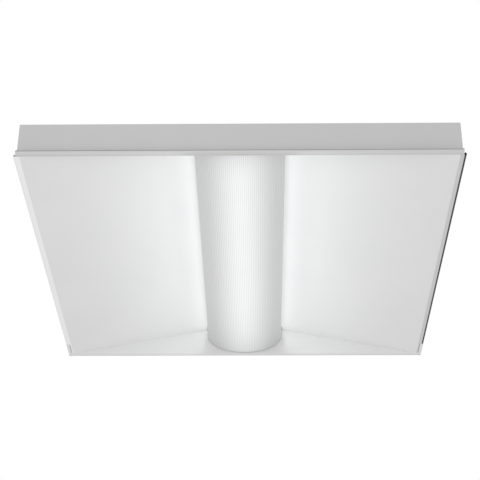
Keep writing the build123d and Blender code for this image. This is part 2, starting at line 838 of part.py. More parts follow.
access_screw_points = [(0, box_mid_y - tab_y), (0, box_mid_y + tab_y)]
knockout_points = [(s * knockout_spacing / 2, box_mid_y) for s in (-1, 1)]
with BuildPart() as access_plate:
    with BuildSketch(Plane.XY.offset(wireway_top - sheet)):
        with Locations((0, box_mid_y)):
            RectangleRounded(wireway_width, wiring_box_length, plate_edge)
        with Locations(*knockout_points):
            Circle(knockout_radius, mode=Mode.SUBTRACT)
        with Locations(*access_screw_points):
            RegularPolygon(small_screw_radius + small_screw_fit, screw_sides, mode=Mode.SUBTRACT)
    extrude(amount=sheet)
keep(access_plate, "access_plate")

with BuildPart() as knockout_slug:
    with BuildSketch(Plane.XY.offset(wireway_top - sheet)):
        with Locations(knockout_points[-1]):
            Circle(knockout_radius - slug_fit)
    extrude(amount=sheet)
keep(knockout_slug, "knockout_slug")

with BuildPart() as box_grommet:
    with BuildSketch(facing_front(box_front_y)):
        with Locations((input_x, wire_z)):
            RegularPolygon(grommet_radius + grommet_wall + grommet_rim, grommet_sides)
            RegularPolygon(grommet_radius, grommet_sides, mode=Mode.SUBTRACT)
    extrude(amount=grommet_rim)
    with BuildSketch(facing_front(box_front_y + sheet + grommet_rim)):
        with Locations((input_x, wire_z)):
            RegularPolygon(grommet_radius + grommet_wall, grommet_sides)
            RegularPolygon(grommet_radius, grommet_sides, mode=Mode.SUBTRACT)
    extrude(amount=sheet + grommet_rim)
keep(box_grommet, "box_grommet")

wire_names = ("line_wire", "neutral_wire", "ground_wire")
wire_bend_ys = [terminal_end_y + share * (box_front_y - terminal_end_y) for share in wire_run_shares]
for name, wire_x, dip in zip(wire_names, mains_wire_xs, wire_dips):
    wire_points = [
        (wire_x, terminal_end_y, wire_z),
        (wire_x, wire_bend_ys[0], wire_z),
        (wire_x, wire_bend_ys[1], wire_z + dip * mains_wire_sag),
        (wire_x, wire_bend_ys[2], wire_z),
        (wire_x, disconnect_y, wire_z),
    ]
    keep(build_wire(wire_points, mains_wire_radius, easy_radii(wire_points)), name)

with BuildPart() as disconnect_plug:
    with BuildSketch(facing_front(disconnect_end_y)):
        with Locations((input_x, wire_z)):
            RectangleRounded(disconnect_width, disconnect_height, disconnect_edge)
    extrude(amount=disconnect_length)
keep(disconnect_plug, "disconnect_plug")

with BuildPart() as disconnect_socket:
    with BuildSketch(facing_front(disconnect_end_y + disconnect_length)):
        with Locations((input_x, wire_z)):
            RectangleRounded(
                disconnect_width - 2 * disconnect_step,
                disconnect_height - 2 * disconnect_step,
                disconnect_edge,
            )
    extrude(amount=disconnect_length)
    with BuildSketch(facing_front(disconnect_end_y + disconnect_length)):
        with Locations(*[(x, wire_z) for x in mains_wire_xs]):
            RegularPolygon(mains_wire_radius, wire_sides)
    extrude(amount=socket_port_depth, mode=Mode.SUBTRACT)
keep(disconnect_socket, "disconnect_socket")

# -------------------------------------------------------------- fasteners


def build_hex_screws(points, seat_z, tip_z):
    """Hex screws whose heads stand on seat_z, with tips at tip_z."""
    with BuildPart() as screws:
        with BuildSketch(Plane.XY.offset(tip_z)):
            with Locations(*points):
                RegularPolygon(screw_radius, screw_sides)
        extrude(amount=seat_z - tip_z)
        with BuildSketch(Plane.XY.offset(seat_z)):
            with Locations(*points):
                RegularPolygon(hex_head_radius, 6)
        extrude(amount=hex_head_height)
    return screws


def build_small_screws(points, seat_z, tip_z):
    """Pan-head screws whose heads bear on seat_z, pointing towards tip_z."""
    upwards = 1 if seat_z > tip_z else -1
    with BuildPart() as screws:
        with BuildSketch(Plane.XY.offset(tip_z)):
            with Locations(*points):
                RegularPolygon(small_screw_radius, screw_sides)
        extrude(amount=seat_z - tip_z)
        with BuildSketch(Plane.XY.offset(seat_z)):
            with Locations(*points):
                RegularPolygon(small_head_radius, screw_sides)
        extrude(amount=upwards * small_head_height, taper=small_head_taper)
    return screws


screw_tip_z = tray_under - screw_tip
keep(build_hex_screws(wing_screw_points, tray_top + sheet, screw_tip_z), "wing_screws")
keep(build_hex_screws(end_screw_points, end_height, screw_tip_z), "end_plate_screws")
keep(build_hex_screws(box_screw_points, tray_top + sheet, screw_tip_z), "wiring_box_screws")
keep(build_hex_screws([(ground_screw_x, ground_screw_y)], tray_top, tray_under), "ground_screw")
keep(build_small_screws(driver_screw_points, tray_top + driver_plate, tray_under), "driver_screws")
keep(build_small_screws(board_screw_points, board_under, tray_top), "board_screws")
access_tip_z = wireway_top - small_screw_length
keep(build_small_screws(access_screw_points, wireway_top, access_tip_z), "access_plate_screws")

# ------------------------------------------------------------- grid clips

clip_inner_x = return_face_x + grid_clip_gap


def build_grid_clip(x_sign, y_sign):
    """One swing-out clip, stowed: its arm hangs from the pivot and hooks inwards."""
    arm_half = grid_clip_width / 2
    far = grid_clip_z - grid_clip_reach
    with BuildPart() as clip:
        with BuildSketch(Plane.YZ.offset(x_sign * clip_inner_x)) as outline:
            with Locations((y_sign * grid_clip_y, grid_clip_z)):
                Circle(arm_half)
            with BuildLine():
                Polyline(
                    (y_sign * (grid_clip_y + arm_half), grid_clip_z),
                    (y_sign * (grid_clip_y + arm_half), far),
                    (y_sign * (grid_clip_y - arm_half - grid_clip_hook_drop), far),
                    (y_sign * (grid_clip_y - arm_half - grid_clip_hook_drop), far + grid_clip_hook),
                    (y_sign * (grid_clip_y - arm_half), far + grid_clip_hook),
                    (y_sign * (grid_clip_y - arm_half), grid_clip_z),
                    close=True,
                )
            make_face()
            chamfer(outline.vertices().group_by(Axis.Z)[0], length=grid_clip_edge)
            with Locations((y_sign * grid_clip_y, grid_clip_z)):
                Circle(rivet_radius + rivet_fit, mode=Mode.SUBTRACT)
        extrude(amount=x_sign * sheet)
    return clip


for x_name, x_sign in (("left", -1), ("right", 1)):
    for y_name, y_sign in (("front", -1), ("rear", 1)):
        keep(build_grid_clip(x_sign, y_sign), f"grid_clip_{y_name}_{x_name}")

with BuildPart() as grid_clip_rivets:
    head_x = clip_inner_x + sheet + rivet_seat_gap
    tail_x = return_face_x - sheet - rivet_tail_height
    for x_sign in (-1, 1):
        for y_sign in (-1, 1):
            with BuildSketch(Plane.YZ.offset(x_sign * tail_x)):
                with Locations((y_sign * grid_clip_y, grid_clip_z)):
                    RegularPolygon(rivet_tail_radius, screw_sides)
            extrude(amount=x_sign * rivet_tail_height)
            with BuildSketch(Plane.YZ.offset(x_sign * tail_x)):
                with Locations((y_sign * grid_clip_y, grid_clip_z)):
                    Circle(rivet_radius)
            extrude(amount=x_sign * (head_x - tail_x))
            with BuildSketch(Plane.YZ.offset(x_sign * head_x)):
                with Locations((y_sign * grid_clip_y, grid_clip_z)):
                    RegularPolygon(rivet_head_radius, screw_sides)
            extrude(amount=x_sign * rivet_head_height)
keep(grid_clip_rivets, "grid_clip_rivets")
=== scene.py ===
"""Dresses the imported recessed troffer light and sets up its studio.

The sheet-metal housing, the driver, the hinge and the clips keep their CAD
solids and get procedural finishes. The ribbed diffuser, its caps, the latch,
screws, rivets, leads, bushings, LED packages, terminals and the disconnect are
modelled here and stand for their plain solids. Everything is in metres in the
CAD frame: +X across the wings, +Y along the diffuser, +Z up into the ceiling,
and Z = 0 at the flange's underside.
"""

import logging
import math
from dataclasses import dataclass, field
from enum import Enum
from functools import partialmethod
from typing import Any, ClassVar

import bpy
import numpy as np
from mathutils import Matrix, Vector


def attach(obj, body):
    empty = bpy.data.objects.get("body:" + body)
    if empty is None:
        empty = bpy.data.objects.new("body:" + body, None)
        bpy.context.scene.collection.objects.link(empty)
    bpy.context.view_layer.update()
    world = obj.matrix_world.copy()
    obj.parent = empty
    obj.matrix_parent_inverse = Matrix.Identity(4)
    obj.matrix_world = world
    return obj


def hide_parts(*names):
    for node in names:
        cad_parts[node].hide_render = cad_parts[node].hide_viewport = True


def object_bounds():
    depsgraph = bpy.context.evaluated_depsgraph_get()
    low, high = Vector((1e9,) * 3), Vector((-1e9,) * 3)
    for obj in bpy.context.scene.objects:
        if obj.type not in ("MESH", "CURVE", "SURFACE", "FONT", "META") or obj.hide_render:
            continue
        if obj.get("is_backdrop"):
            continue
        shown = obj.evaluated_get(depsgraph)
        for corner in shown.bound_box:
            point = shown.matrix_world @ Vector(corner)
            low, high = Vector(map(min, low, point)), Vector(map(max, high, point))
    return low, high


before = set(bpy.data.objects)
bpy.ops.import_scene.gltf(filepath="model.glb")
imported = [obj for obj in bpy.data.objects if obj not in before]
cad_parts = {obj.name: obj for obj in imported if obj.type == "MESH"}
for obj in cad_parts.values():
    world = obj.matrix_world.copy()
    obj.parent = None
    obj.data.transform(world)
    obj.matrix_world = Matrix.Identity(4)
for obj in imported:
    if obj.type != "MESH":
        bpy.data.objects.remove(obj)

Colour = tuple[float, float, float]
Point = tuple[float, float, float]

LED_WHITE: Colour = (0.955, 0.975, 1.0)  # the cool light of the LEDs
UPSIDE_DOWN = np.diag((1.0, -1.0, -1.0))
BOTH = (-1, 1)  # signs of the two sides or ends
FOUR = tuple((s, t) for s in BOTH for t in BOTH)

log = logging.getLogger("troffer")


def millimetres(*values: float) -> tuple[float, ...]:
    """The values, given in millimetres, in metres."""
    return tuple(value / 1000 for value in values)


def at_corners(stem: str) -> tuple[str, ...]:
    """The four nodes of that stem, one at each corner of the light."""
    return tuple(f"{stem}_{end}_{side}" for end in ("front", "rear") for side in ("left", "right"))


def circle(points: int) -> np.ndarray:
    """The angles of evenly spaced points round a circle."""
    return np.linspace(0, 2 * math.pi, points, endpoint=False)


# ---- shader language


class Signal:
    """A shader socket in arithmetic: each operator adds its Math node."""

    def __init__(self, paint: "Paint", socket: bpy.types.NodeSocket) -> None:
        """Wraps one output socket of the paint's node tree."""
        self.paint = paint
        self.socket = socket

    def through(self, operation: str, other: Any = None, **settings: Any) -> "Signal":
        """This signal, and another where two are needed, sent through a Math node."""
        pair = {0: self, 1: other}
        return self.paint.add("ShaderNodeMath", pair, operation=operation, **settings)

    __add__ = __radd__ = partialmethod(through, "ADD")
    __sub__ = partialmethod(through, "SUBTRACT")
    __mul__ = __rmul__ = partialmethod(through, "MULTIPLY")
    __truediv__ = partialmethod(through, "DIVIDE")
    __pow__ = partialmethod(through, "POWER")
    __abs__ = partialmethod(through, "ABSOLUTE")

    def __rsub__(self, other: Any) -> "Signal":
        """Another value less this signal."""
        return self.paint.add("ShaderNodeMath", {0: other, 1: self}, operation="SUBTRACT")

    def clamped(self) -> "Signal":
        """This signal kept between 0 and 1."""
        return self.through("ADD", 0.0, use_clamp=True)

    def ramp(self, low: float, high: float, to_low: float = 0.0, to_high: float = 1.0) -> "Signal":
        """Eases from to_low to to_high as this signal crosses the band from low to high."""
        return self.paint.add(
            "ShaderNodeMapRange", {"Value": self, 1: low, 2: high, 3: to_low, 4: to_high},
            interpolation_type="SMOOTHSTEP",
        )


class Paint:
    """A material under construction, with one method that adds any node."""

    def __init__(self, name: str, kind: str = "materials") -> None:
        """Starts an empty material or world.

        Args:
            name: Its name.
            kind: The list in bpy.data that it joins.
        """
        self.material = getattr(bpy.data, kind).new(name)
        self.material.use_nodes = True
        self.tree = self.material.node_tree
        self.tree.nodes.clear()

    def add(
        self, kind: str, inputs: dict[str | int, Any] | None = None, output: str | int = 0,
        **settings: Any,
    ) -> Signal:
        """Adds one node of any type.

        Args:
            kind: The node's type name.
            inputs: Values or signals for its sockets, by name or number.
            output: The socket that is wanted.
            **settings: The node's own settings, which are set first.

        Returns:
            The wanted output.
        """
        node = self.tree.nodes.new(kind)
        for name, value in settings.items():
            setattr(node, name, value)
        for key, value in (inputs or {}).items():
            if isinstance(value, Signal):
                self.tree.links.new(value.socket, node.inputs[key])
            elif value is not None:
                node.inputs[key].default_value = value
        return Signal(self, node.outputs[output])

    def here(self) -> Signal:
        """The point on the piece, in Object coordinates, in metres."""
        return self.add("ShaderNodeTexCoord", output="Object")

    def axes(self, vector: Signal) -> tuple[Signal, Signal, Signal]:
        """The three parts of a vector."""
        node = self.add("ShaderNodeSeparateXYZ", {0: vector}).socket.node
        return tuple(Signal(self, socket) for socket in node.outputs)

    def stretched(self, x: float, y: float, z: float) -> Signal:
        """Object coordinates scaled along X, Y and Z."""
        return self.add(
            "ShaderNodeVectorMath", {0: self.here(), 1: (x, y, z)}, operation="MULTIPLY"
        )

    def noise(self, scale: float, detail: float = 2.0, at: Signal | None = None) -> Signal:
        """Smooth noise from 0 to 1, with that many features per metre."""
        return self.add(
            "ShaderNodeTexNoise",
            {"Vector": at or self.here(), "Scale": scale, "Detail": detail, "Roughness": 0.5},
        )

    def mixed(self, share: Any, first: Colour | Signal, second: Colour | Signal) -> Signal:
        """A blend with that share, from 0 to 1, of the second colour."""
        ends = [c if isinstance(c, Signal) else (*c, 1.0) for c in (first, second)]
        return self.add("ShaderNodeMix", {0: share, 6: ends[0], 7: ends[1]}, 2, data_type="RGBA")

    def bumped(self, height: Signal, depth: float, under: Signal | None = None) -> Signal:
        """A normal roughened by a height, 1 of which stands for the depth in metres."""
        return self.add(
            "ShaderNodeBump",
            {"Height": height, "Distance": depth, "Strength": 1.0, "Normal": under},
        )

    def finish(self, **values: Any) -> bpy.types.Material:
        """Ends the material in a Principled shader.

        Args:
            **values: Values or signals by the socket's name, with _ for each space.

        Returns:
            The finished material.
        """
        inputs = {
            name.replace("_", " "): (*value, 1.0) if isinstance(value, tuple) else value
            for name, value in values.items()
        }
        return self.ended(self.add("ShaderNodeBsdfPrincipled", inputs))

    def ended(self, surface: Signal, kind: str = "ShaderNodeOutputMaterial") -> bpy.types.ID:
        """Links a shader to the output.

        Args:
            surface: The shader.
            kind: The output node's type name.

        Returns:
            The finished material or world.
        """
        end = self.tree.nodes.new(kind)
        self.tree.links.new(surface.socket, end.inputs["Surface"])
        return self.material


# ---- finishes


@dataclass(frozen=True)
class PaintedShadingBand:
    """A straight band across a sheet where shade or light is painted into its colour: a darker band
    is painted shade, a lighter one a painted highlight.
    """

    axis: int  # 0, 1 or 2: the band lies square to X, Y or Z
    place: float
    half: float
    tone: Colour

    def over(self, paint: "Paint", colour: Signal) -> Signal:
        """The colour so far with this band laid over it."""
        # Mixes the band's tone into the colour: painted shade where the tone is darker, a painted
        # highlight where it is lighter.
        away = abs(paint.axes(paint.here())[self.axis] - self.place)
        return paint.mixed(away.ramp(self.half * 0.8, self.half * 1.2, 1.0, 0.0), colour, self.tone)


@dataclass(frozen=True)
class Enamel:
    """White post-painted enamel on thin sheet: orange peel, a little oil-canning."""

    name: str
    colour: Colour = (0.832, 0.833, 0.829)
    shade: Colour = (0.816, 0.818, 0.816)
    film: float = 0.05  # dust film on faces that look up
    weld_marks: tuple[Point, ...] = ()
    weld_radius: float = 0.0024
    # Bands of painted shade and painted highlight laid over the colour.
    painted_shading_bands: tuple[PaintedShadingBand, ...] = ()

    def build(self) -> bpy.types.Material:
        """The enamel's material."""
        paint = Paint(self.name)
        drift = paint.noise(9.0, 3.0)
        peel = paint.noise(420.0, 2.0)
        facing = paint.axes(paint.add("ShaderNodeNewGeometry", output="Normal"))[2]
        film = facing.ramp(0.6, 1.0) * paint.noise(30.0, 5.0).ramp(0.35, 0.75) * self.film
        colour = paint.mixed(drift.ramp(0.3, 0.7), self.colour, self.shade)
        colour = paint.mixed(film.clamped(), colour, (0.46, 0.44, 0.40))
        normal = paint.bumped(drift, 0.0004)
        normal = paint.bumped(peel, 0.000035, normal)
        rough = 0.42 + 0.1 * peel + 0.25 * film
        # Lays the bands of painted shade and painted highlight over the colour.
        for painted_band in self.painted_shading_bands:
            colour = painted_band.over(paint, colour)
        if self.weld_marks:
            ring, pit = self._welds(paint)
            colour = paint.mixed(ring * 0.35, colour, (0.45, 0.44, 0.43))
            normal = paint.bumped(1 - pit, 0.0003, normal)
        return paint.finish(
            Base_Color=colour, Roughness=rough.clamped(), Normal=normal, Coat_Weight=0.08
        )

    def _welds(self, paint: Paint) -> tuple[Signal, Signal]:
        """Rings and pits of the spot welds.

        Args:
            paint: The material under construction.

        Returns:
            The scorched rings' mask and the pits' mask.
        """
        nearest = None
        for mark in self.weld_marks:
            away = paint.add(
                "ShaderNodeVectorMath", {0: paint.here(), 1: mark}, "Value", operation="DISTANCE"
            )
            nearest = away if nearest is None else nearest.through("MINIMUM", away)
        pit = nearest.ramp(self.weld_radius * 0.75, self.weld_radius, 1.0, 0.0)
        ring = nearest.ramp(self.weld_radius, self.weld_radius * 1.8, 1.0, 0.0)
        return ring, pit


@dataclass(frozen=True)
class FrostedAcrylic:
    """Lit, frosted acrylic: bright upright walls, a bright belly and dim grooves."""

    name: str = "diffuser_acrylic_lit"
    lit: Colour = (0.985, 0.991, 1.0)
    half_width: float = 0.0625
    half_length: float = 0.2903
    walls: tuple[float, float] = (0.032, 0.037)  # the walls' glow starts and is full
    wall: float = 0.72  # glow of the upright walls
    belly: float = 0.61
    sides: float = 0.240
    groove: float = 0.20  # light lost at the bottom of a groove
    rear_fade: float = 0.41  # light lost at the rear end
    front_fade: float = 0.32  # and at the front
    strength: float = 1.0

    def build(self) -> bpy.types.Material:
        """The diffuser's material."""
        paint = Paint(self.name)
        x, y, z = paint.axes(paint.here())
        across = abs(x) / self.half_width
        along = y / self.half_length
        rear, front = along.clamped() ** 4, (0 - along).clamped() ** 10
        ends = 1 - self.rear_fade * rear - self.front_fade * front
        depth = paint.add("ShaderNodeAttribute", output="Fac", attribute_name=Diffuser.attribute)
        rows = 1 - self.groove * depth
        drift = 0.985 + 0.03 * paint.noise(14.0, 1.0)
        level = across.ramp(0.0, 1.0, self.belly, self.sides) * ends * rows * drift
        level = level + z.ramp(*self.walls) * (self.wall - level)
        glow = paint.mixed(level.clamped(), (0.0, 0.0, 0.0), self.lit)
        frost = paint.noise(2600.0, 2.0)
        # The base colour is darker at the bottoms of the grooves: painted shade in the grooves.
        tone = paint.mixed(depth * 0.6, (0.44, 0.44, 0.44), (0.38, 0.385, 0.39))
        return paint.finish(
            Base_Color=tone, Roughness=0.40 + 0.1 * frost, Normal=paint.bumped(frost, 0.00001),
            Coat_Weight=0.1, Emission_Color=glow, Emission_Strength=self.strength,
        )


@dataclass(frozen=True)
class GlowingPlastic:
    """White moulded plastic that lets a little of the lamp's light through."""

    name: str = "cap_plastic"
    colour: Colour = (0.62, 0.62, 0.615)
    shade: Colour = (0.58, 0.58, 0.575)
    glow: float = 0.03

    def build(self) -> bpy.types.Material:
        """The plastic's material."""
        paint = Paint(self.name)
        grain = paint.noise(900.0, 3.0)
        tone = paint.mixed(paint.noise(40.0).ramp(0.3, 0.7), self.colour, self.shade)
        return paint.finish(
            Base_Color=tone, Roughness=0.38 + 0.12 * grain, Normal=paint.bumped(grain, 0.00003),
            Emission_Color=tone, Emission_Strength=self.glow,
        )


@dataclass(frozen=True)
class Galvanised:
    """Hot-dip galvanised sheet: spangle of flat crystals and faint rolling lines."""

    name: str = "galvanised"
    light: Colour = (0.68, 0.70, 0.72)
    dark: Colour = (0.47, 0.49, 0.52)
    crystals: float = 130.0

    def build(self) -> bpy.types.Material:
        """The zinc coating's material."""
        paint = Paint(self.name)
        drift = paint.add("ShaderNodeTexNoise", {"Vector": paint.here(), "Scale": 90.0}, "Color")
        wander = paint.add(
            "ShaderNodeVectorMath", {0: drift, 1: (0.004, 0.004, 0.004), 2: paint.here()},
            operation="MULTIPLY_ADD",
        )
        cell = paint.add(
            "ShaderNodeTexVoronoi", {"Vector": wander, "Scale": self.crystals}, "Color"
        )
        grey = paint.axes(cell)[0]
        rolling = paint.noise(1.0, 2.0, paint.stretched(30.0, 1400.0, 1400.0))
        stain = paint.noise(22.0, 4.0).ramp(0.5, 0.8)
        tone = paint.mixed(grey, self.dark, self.light)
        tone = paint.mixed(stain * 0.35, tone, (0.56, 0.56, 0.55))
        return paint.finish(
            Base_Color=tone, Metallic=0.9,
            Roughness=(0.30 + 0.22 * grey + 0.12 * stain + 0.05 * rolling).clamped(),
            Normal=paint.bumped(rolling, 0.00002, paint.bumped(grey, 0.00002)),
        )


@dataclass(frozen=True)
class BareMetal:
    """Plated or spring metal with a fine turned or drawn grain."""

    name: str
    colour: Colour
    tint: Colour
    roughness: float = 0.28
    grain: float = 1600.0

    def build(self) -> bpy.types.Material:
        """The metal's material."""
        paint = Paint(self.name)
        cloud = paint.noise(160.0, 3.0)
        lines = paint.noise(1.0, 2.0, paint.stretched(self.grain, self.grain * 0.05, self.grain))
        tone = paint.mixed(cloud.ramp(0.35, 0.7), self.colour, self.tint)
        return paint.finish(
            Base_Color=tone, Metallic=1.0,
            Roughness=(self.roughness + 0.16 * cloud + 0.06 * lines).clamped(),
            Normal=paint.bumped(lines, 0.000012),
        )


@dataclass(frozen=True)
class Moulded:
    """Moulded plastic, nylon or soft insulation with a fine spark grain."""

    name: str
    colour: Colour
    shade: Colour
    roughness: float = 0.42
    grain: float = 1300.0
    depth: float = 0.00002
    coat: float = 0.0

    def build(self) -> bpy.types.Material:
        """The plastic's material."""
        paint = Paint(self.name)
        grain = paint.noise(self.grain, 3.0)
        tone = paint.mixed(paint.noise(120.0, 3.0).ramp(0.3, 0.75), self.colour, self.shade)
        return paint.finish(
            Base_Color=tone, Roughness=(self.roughness + 0.14 * grain).clamped(),
            Normal=paint.bumped(grain, self.depth), Coat_Weight=self.coat,
        )


@dataclass(frozen=True)
class SolderMask:
    """White solder mask over wide copper pours, which stand a little proud."""

    name: str = "solder_mask"
    mask: Colour = (0.86, 0.86, 0.83)
    over_copper: Colour = (0.80, 0.79, 0.73)
    pitch: float = 0.014  # one pour to each LED
    row_x: float = 0.020

    def build(self) -> bpy.types.Material:
        """The LED boards' material."""
        paint = Paint(self.name)
        x, y, _ = paint.axes(paint.here())
        across = abs(abs(x) - self.row_x)
        cell = abs((y / self.pitch).through("FRACT") - 0.5)
        gap = cell.ramp(0.43, 0.455, 1.0, 0.0)
        pour = gap * across.ramp(0.0096, 0.0100, 1.0, 0.0)
        grain = paint.noise(1500.0, 2.0)
        return paint.finish(
            Base_Color=paint.mixed(pour, self.mask, self.over_copper),
            Roughness=0.34 + 0.12 * grain,
            Normal=paint.bumped(grain, 0.00001, paint.bumped(pour, 0.00004)),
        )


@dataclass(frozen=True)
class Phosphor:
    """LED package: white frame round a lit yellow phosphor pad."""

    name: str = "led_package"
    pitch: float = 0.014
    first_y: float = 0.0110125  # middle of the package nearest the centre
    row_x: float = 0.020
    pad: float = 0.00118

    def build(self) -> bpy.types.Material:
        """The LED packages' material."""
        paint = Paint(self.name)
        x, y, _ = paint.axes(paint.here())
        steps = (abs(y) - self.first_y) / self.pitch
        off = steps - steps.through("ROUND")
        across = abs(abs(x) - self.row_x)
        away = ((off * self.pitch) ** 2 + across**2).through("SQRT")
        lit = away.ramp(self.pad * 0.92, self.pad, 1.0, 0.0)
        grain = paint.noise(3000.0, 2.0)
        return paint.finish(
            Base_Color=paint.mixed(lit, (0.85, 0.85, 0.83), (0.93, 0.72, 0.16)),
            Roughness=0.3 + 0.2 * grain,
            Emission_Color=paint.mixed(lit, (0.05, 0.05, 0.045), (1.0, 0.90, 0.62)),
            Emission_Strength=1.6,
        )


@dataclass(frozen=True)
class DriverEnamel:
    """Light grey enamel on the driver's can, with its folded lid seam."""

    name: str = "driver_enamel"
    colour: Colour = (0.60, 0.61, 0.62)
    seam_z: float = 0.0716
    seam: float = 0.0005

    def build(self) -> bpy.types.Material:
        """The driver can's material."""
        paint = Paint(self.name)
        _, _, z = paint.axes(paint.here())
        groove = abs(z - self.seam_z).ramp(self.seam * 0.5, self.seam, 1.0, 0.0)
        peel = paint.noise(500.0, 3.0)
        tone = paint.mixed(paint.noise(25.0, 3.0).ramp(0.3, 0.7), self.colour, (0.56, 0.57, 0.58))
        tone = paint.mixed(groove * 0.7, tone, (0.12, 0.12, 0.12))
        return paint.finish(
            Base_Color=tone, Roughness=0.36 + 0.14 * peel,
            Normal=paint.bumped(1 - groove, 0.0004, paint.bumped(peel, 0.00004)), Coat_Weight=0.1,
        )


class Finish(Enum):
    """Every finish on the light, each built once."""

    WHITE = Enamel("white_enamel_painted")
    # The front plate's own copy of the enamel carries painted shade: a darker flange underside, a
    # dark painted shadow line on the front face just above the lip, and a dark line across the
    # flange near the plate.
    FRONT_PLATE = Enamel(
        "white_enamel_front_plate",
        painted_shading_bands=(
            PaintedShadingBand(2, 0.0, 0.0009, (0.68, 0.68, 0.675)),
            PaintedShadingBand(2, 0.0025, 0.0006, (0.40, 0.40, 0.40)),
            PaintedShadingBand(1, -0.2945, 0.0005, (0.55, 0.55, 0.545)),
        ),
    )
    # The rear plate's own copy of the enamel carries a dark line of painted shade across its flange
    # near the outer edge.
    REAR_PLATE = Enamel(
        "white_enamel_rear_plate", painted_shading_bands=(PaintedShadingBand(1, 0.2997, 0.0006, (0.36, 0.36, 0.36)),)
    )
    # The left wing's own copy of the enamel carries a painted highlight: a lighter band along its
    # outer hem.
    LEFT_WING = Enamel(
        "white_enamel_left_wing", painted_shading_bands=(PaintedShadingBand(0, -0.2975, 0.0044, (0.98, 0.98, 0.975)),)
    )
    # The right wing's own copy of the enamel carries painted shade: a darker band along its outer
    # hem and a near-black painted shadow line at the hem's outer edge.
    RIGHT_WING = Enamel(
        "white_enamel_right_wing",
        painted_shading_bands=(
            PaintedShadingBand(0, 0.2972, 0.0040, (0.66, 0.66, 0.655)),
            PaintedShadingBand(0, 0.2998, 0.0013, (0.02, 0.02, 0.02)),
        ),
    )
    TRAY = Enamel(
        "white_enamel_tray",
        weld_marks=tuple(
            millimetres(x, y, z)
            for x, z in ((-49.8, 51.2), (55.15, 51.2), (-55.15, 51.2))
            for y in ((-184.0, -176.0, 64.0, 72.0) if x == -49.8 else (-154, -146, -4, 4, 146, 154))
        ),
    )
    ACRYLIC = FrostedAcrylic()
    CAP = GlowingPlastic()
    GALVANISED = Galvanised()
    ZINC = BareMetal("zinc_plate", (0.72, 0.72, 0.70), (0.62, 0.63, 0.60), 0.24)
    SPRING = BareMetal("spring_steel_blued", (0.44, 0.45, 0.48), (0.34, 0.33, 0.34), 0.30)
    GREEN_PLATE = Moulded(
        "ground_green_plate", (0.03, 0.26, 0.08), (0.02, 0.20, 0.06), 0.25, coat=0.4
    )
    WHITE_NYLON = Moulded("white_nylon", (0.80, 0.80, 0.77), (0.74, 0.74, 0.71))
    BLACK_NYLON = Moulded("black_nylon", (0.022, 0.022, 0.024), (0.034, 0.034, 0.036), 0.40)
    TERMINAL_GREY = Moulded("terminal_grey_nylon", (0.23, 0.24, 0.25), (0.19, 0.20, 0.21))
    ORANGE = Moulded("disconnect_orange_nylon", (0.72, 0.20, 0.025), (0.62, 0.16, 0.02), 0.36)
    MASK = SolderMask()
    PACKAGE = Phosphor()
    DRIVER = DriverEnamel()
    BLACK_WIRE = Moulded("wire_insulation_black", (0.02, 0.02, 0.021), (0.03, 0.03, 0.03), 0.34)
    WHITE_WIRE = Moulded("wire_insulation_white", (0.76, 0.76, 0.73), (0.70, 0.70, 0.67), 0.34)
    GREEN_WIRE = Moulded("wire_insulation_green", (0.02, 0.22, 0.06), (0.015, 0.17, 0.05), 0.34)
    RED_WIRE = Moulded("wire_insulation_red", (0.45, 0.02, 0.02), (0.36, 0.015, 0.015), 0.34)

    def material(self) -> bpy.types.Material:
        """This finish's material, built the first time it is wanted."""
        return bpy.data.materials.get(self.value.name) or self.value.build()


# ---- shapes


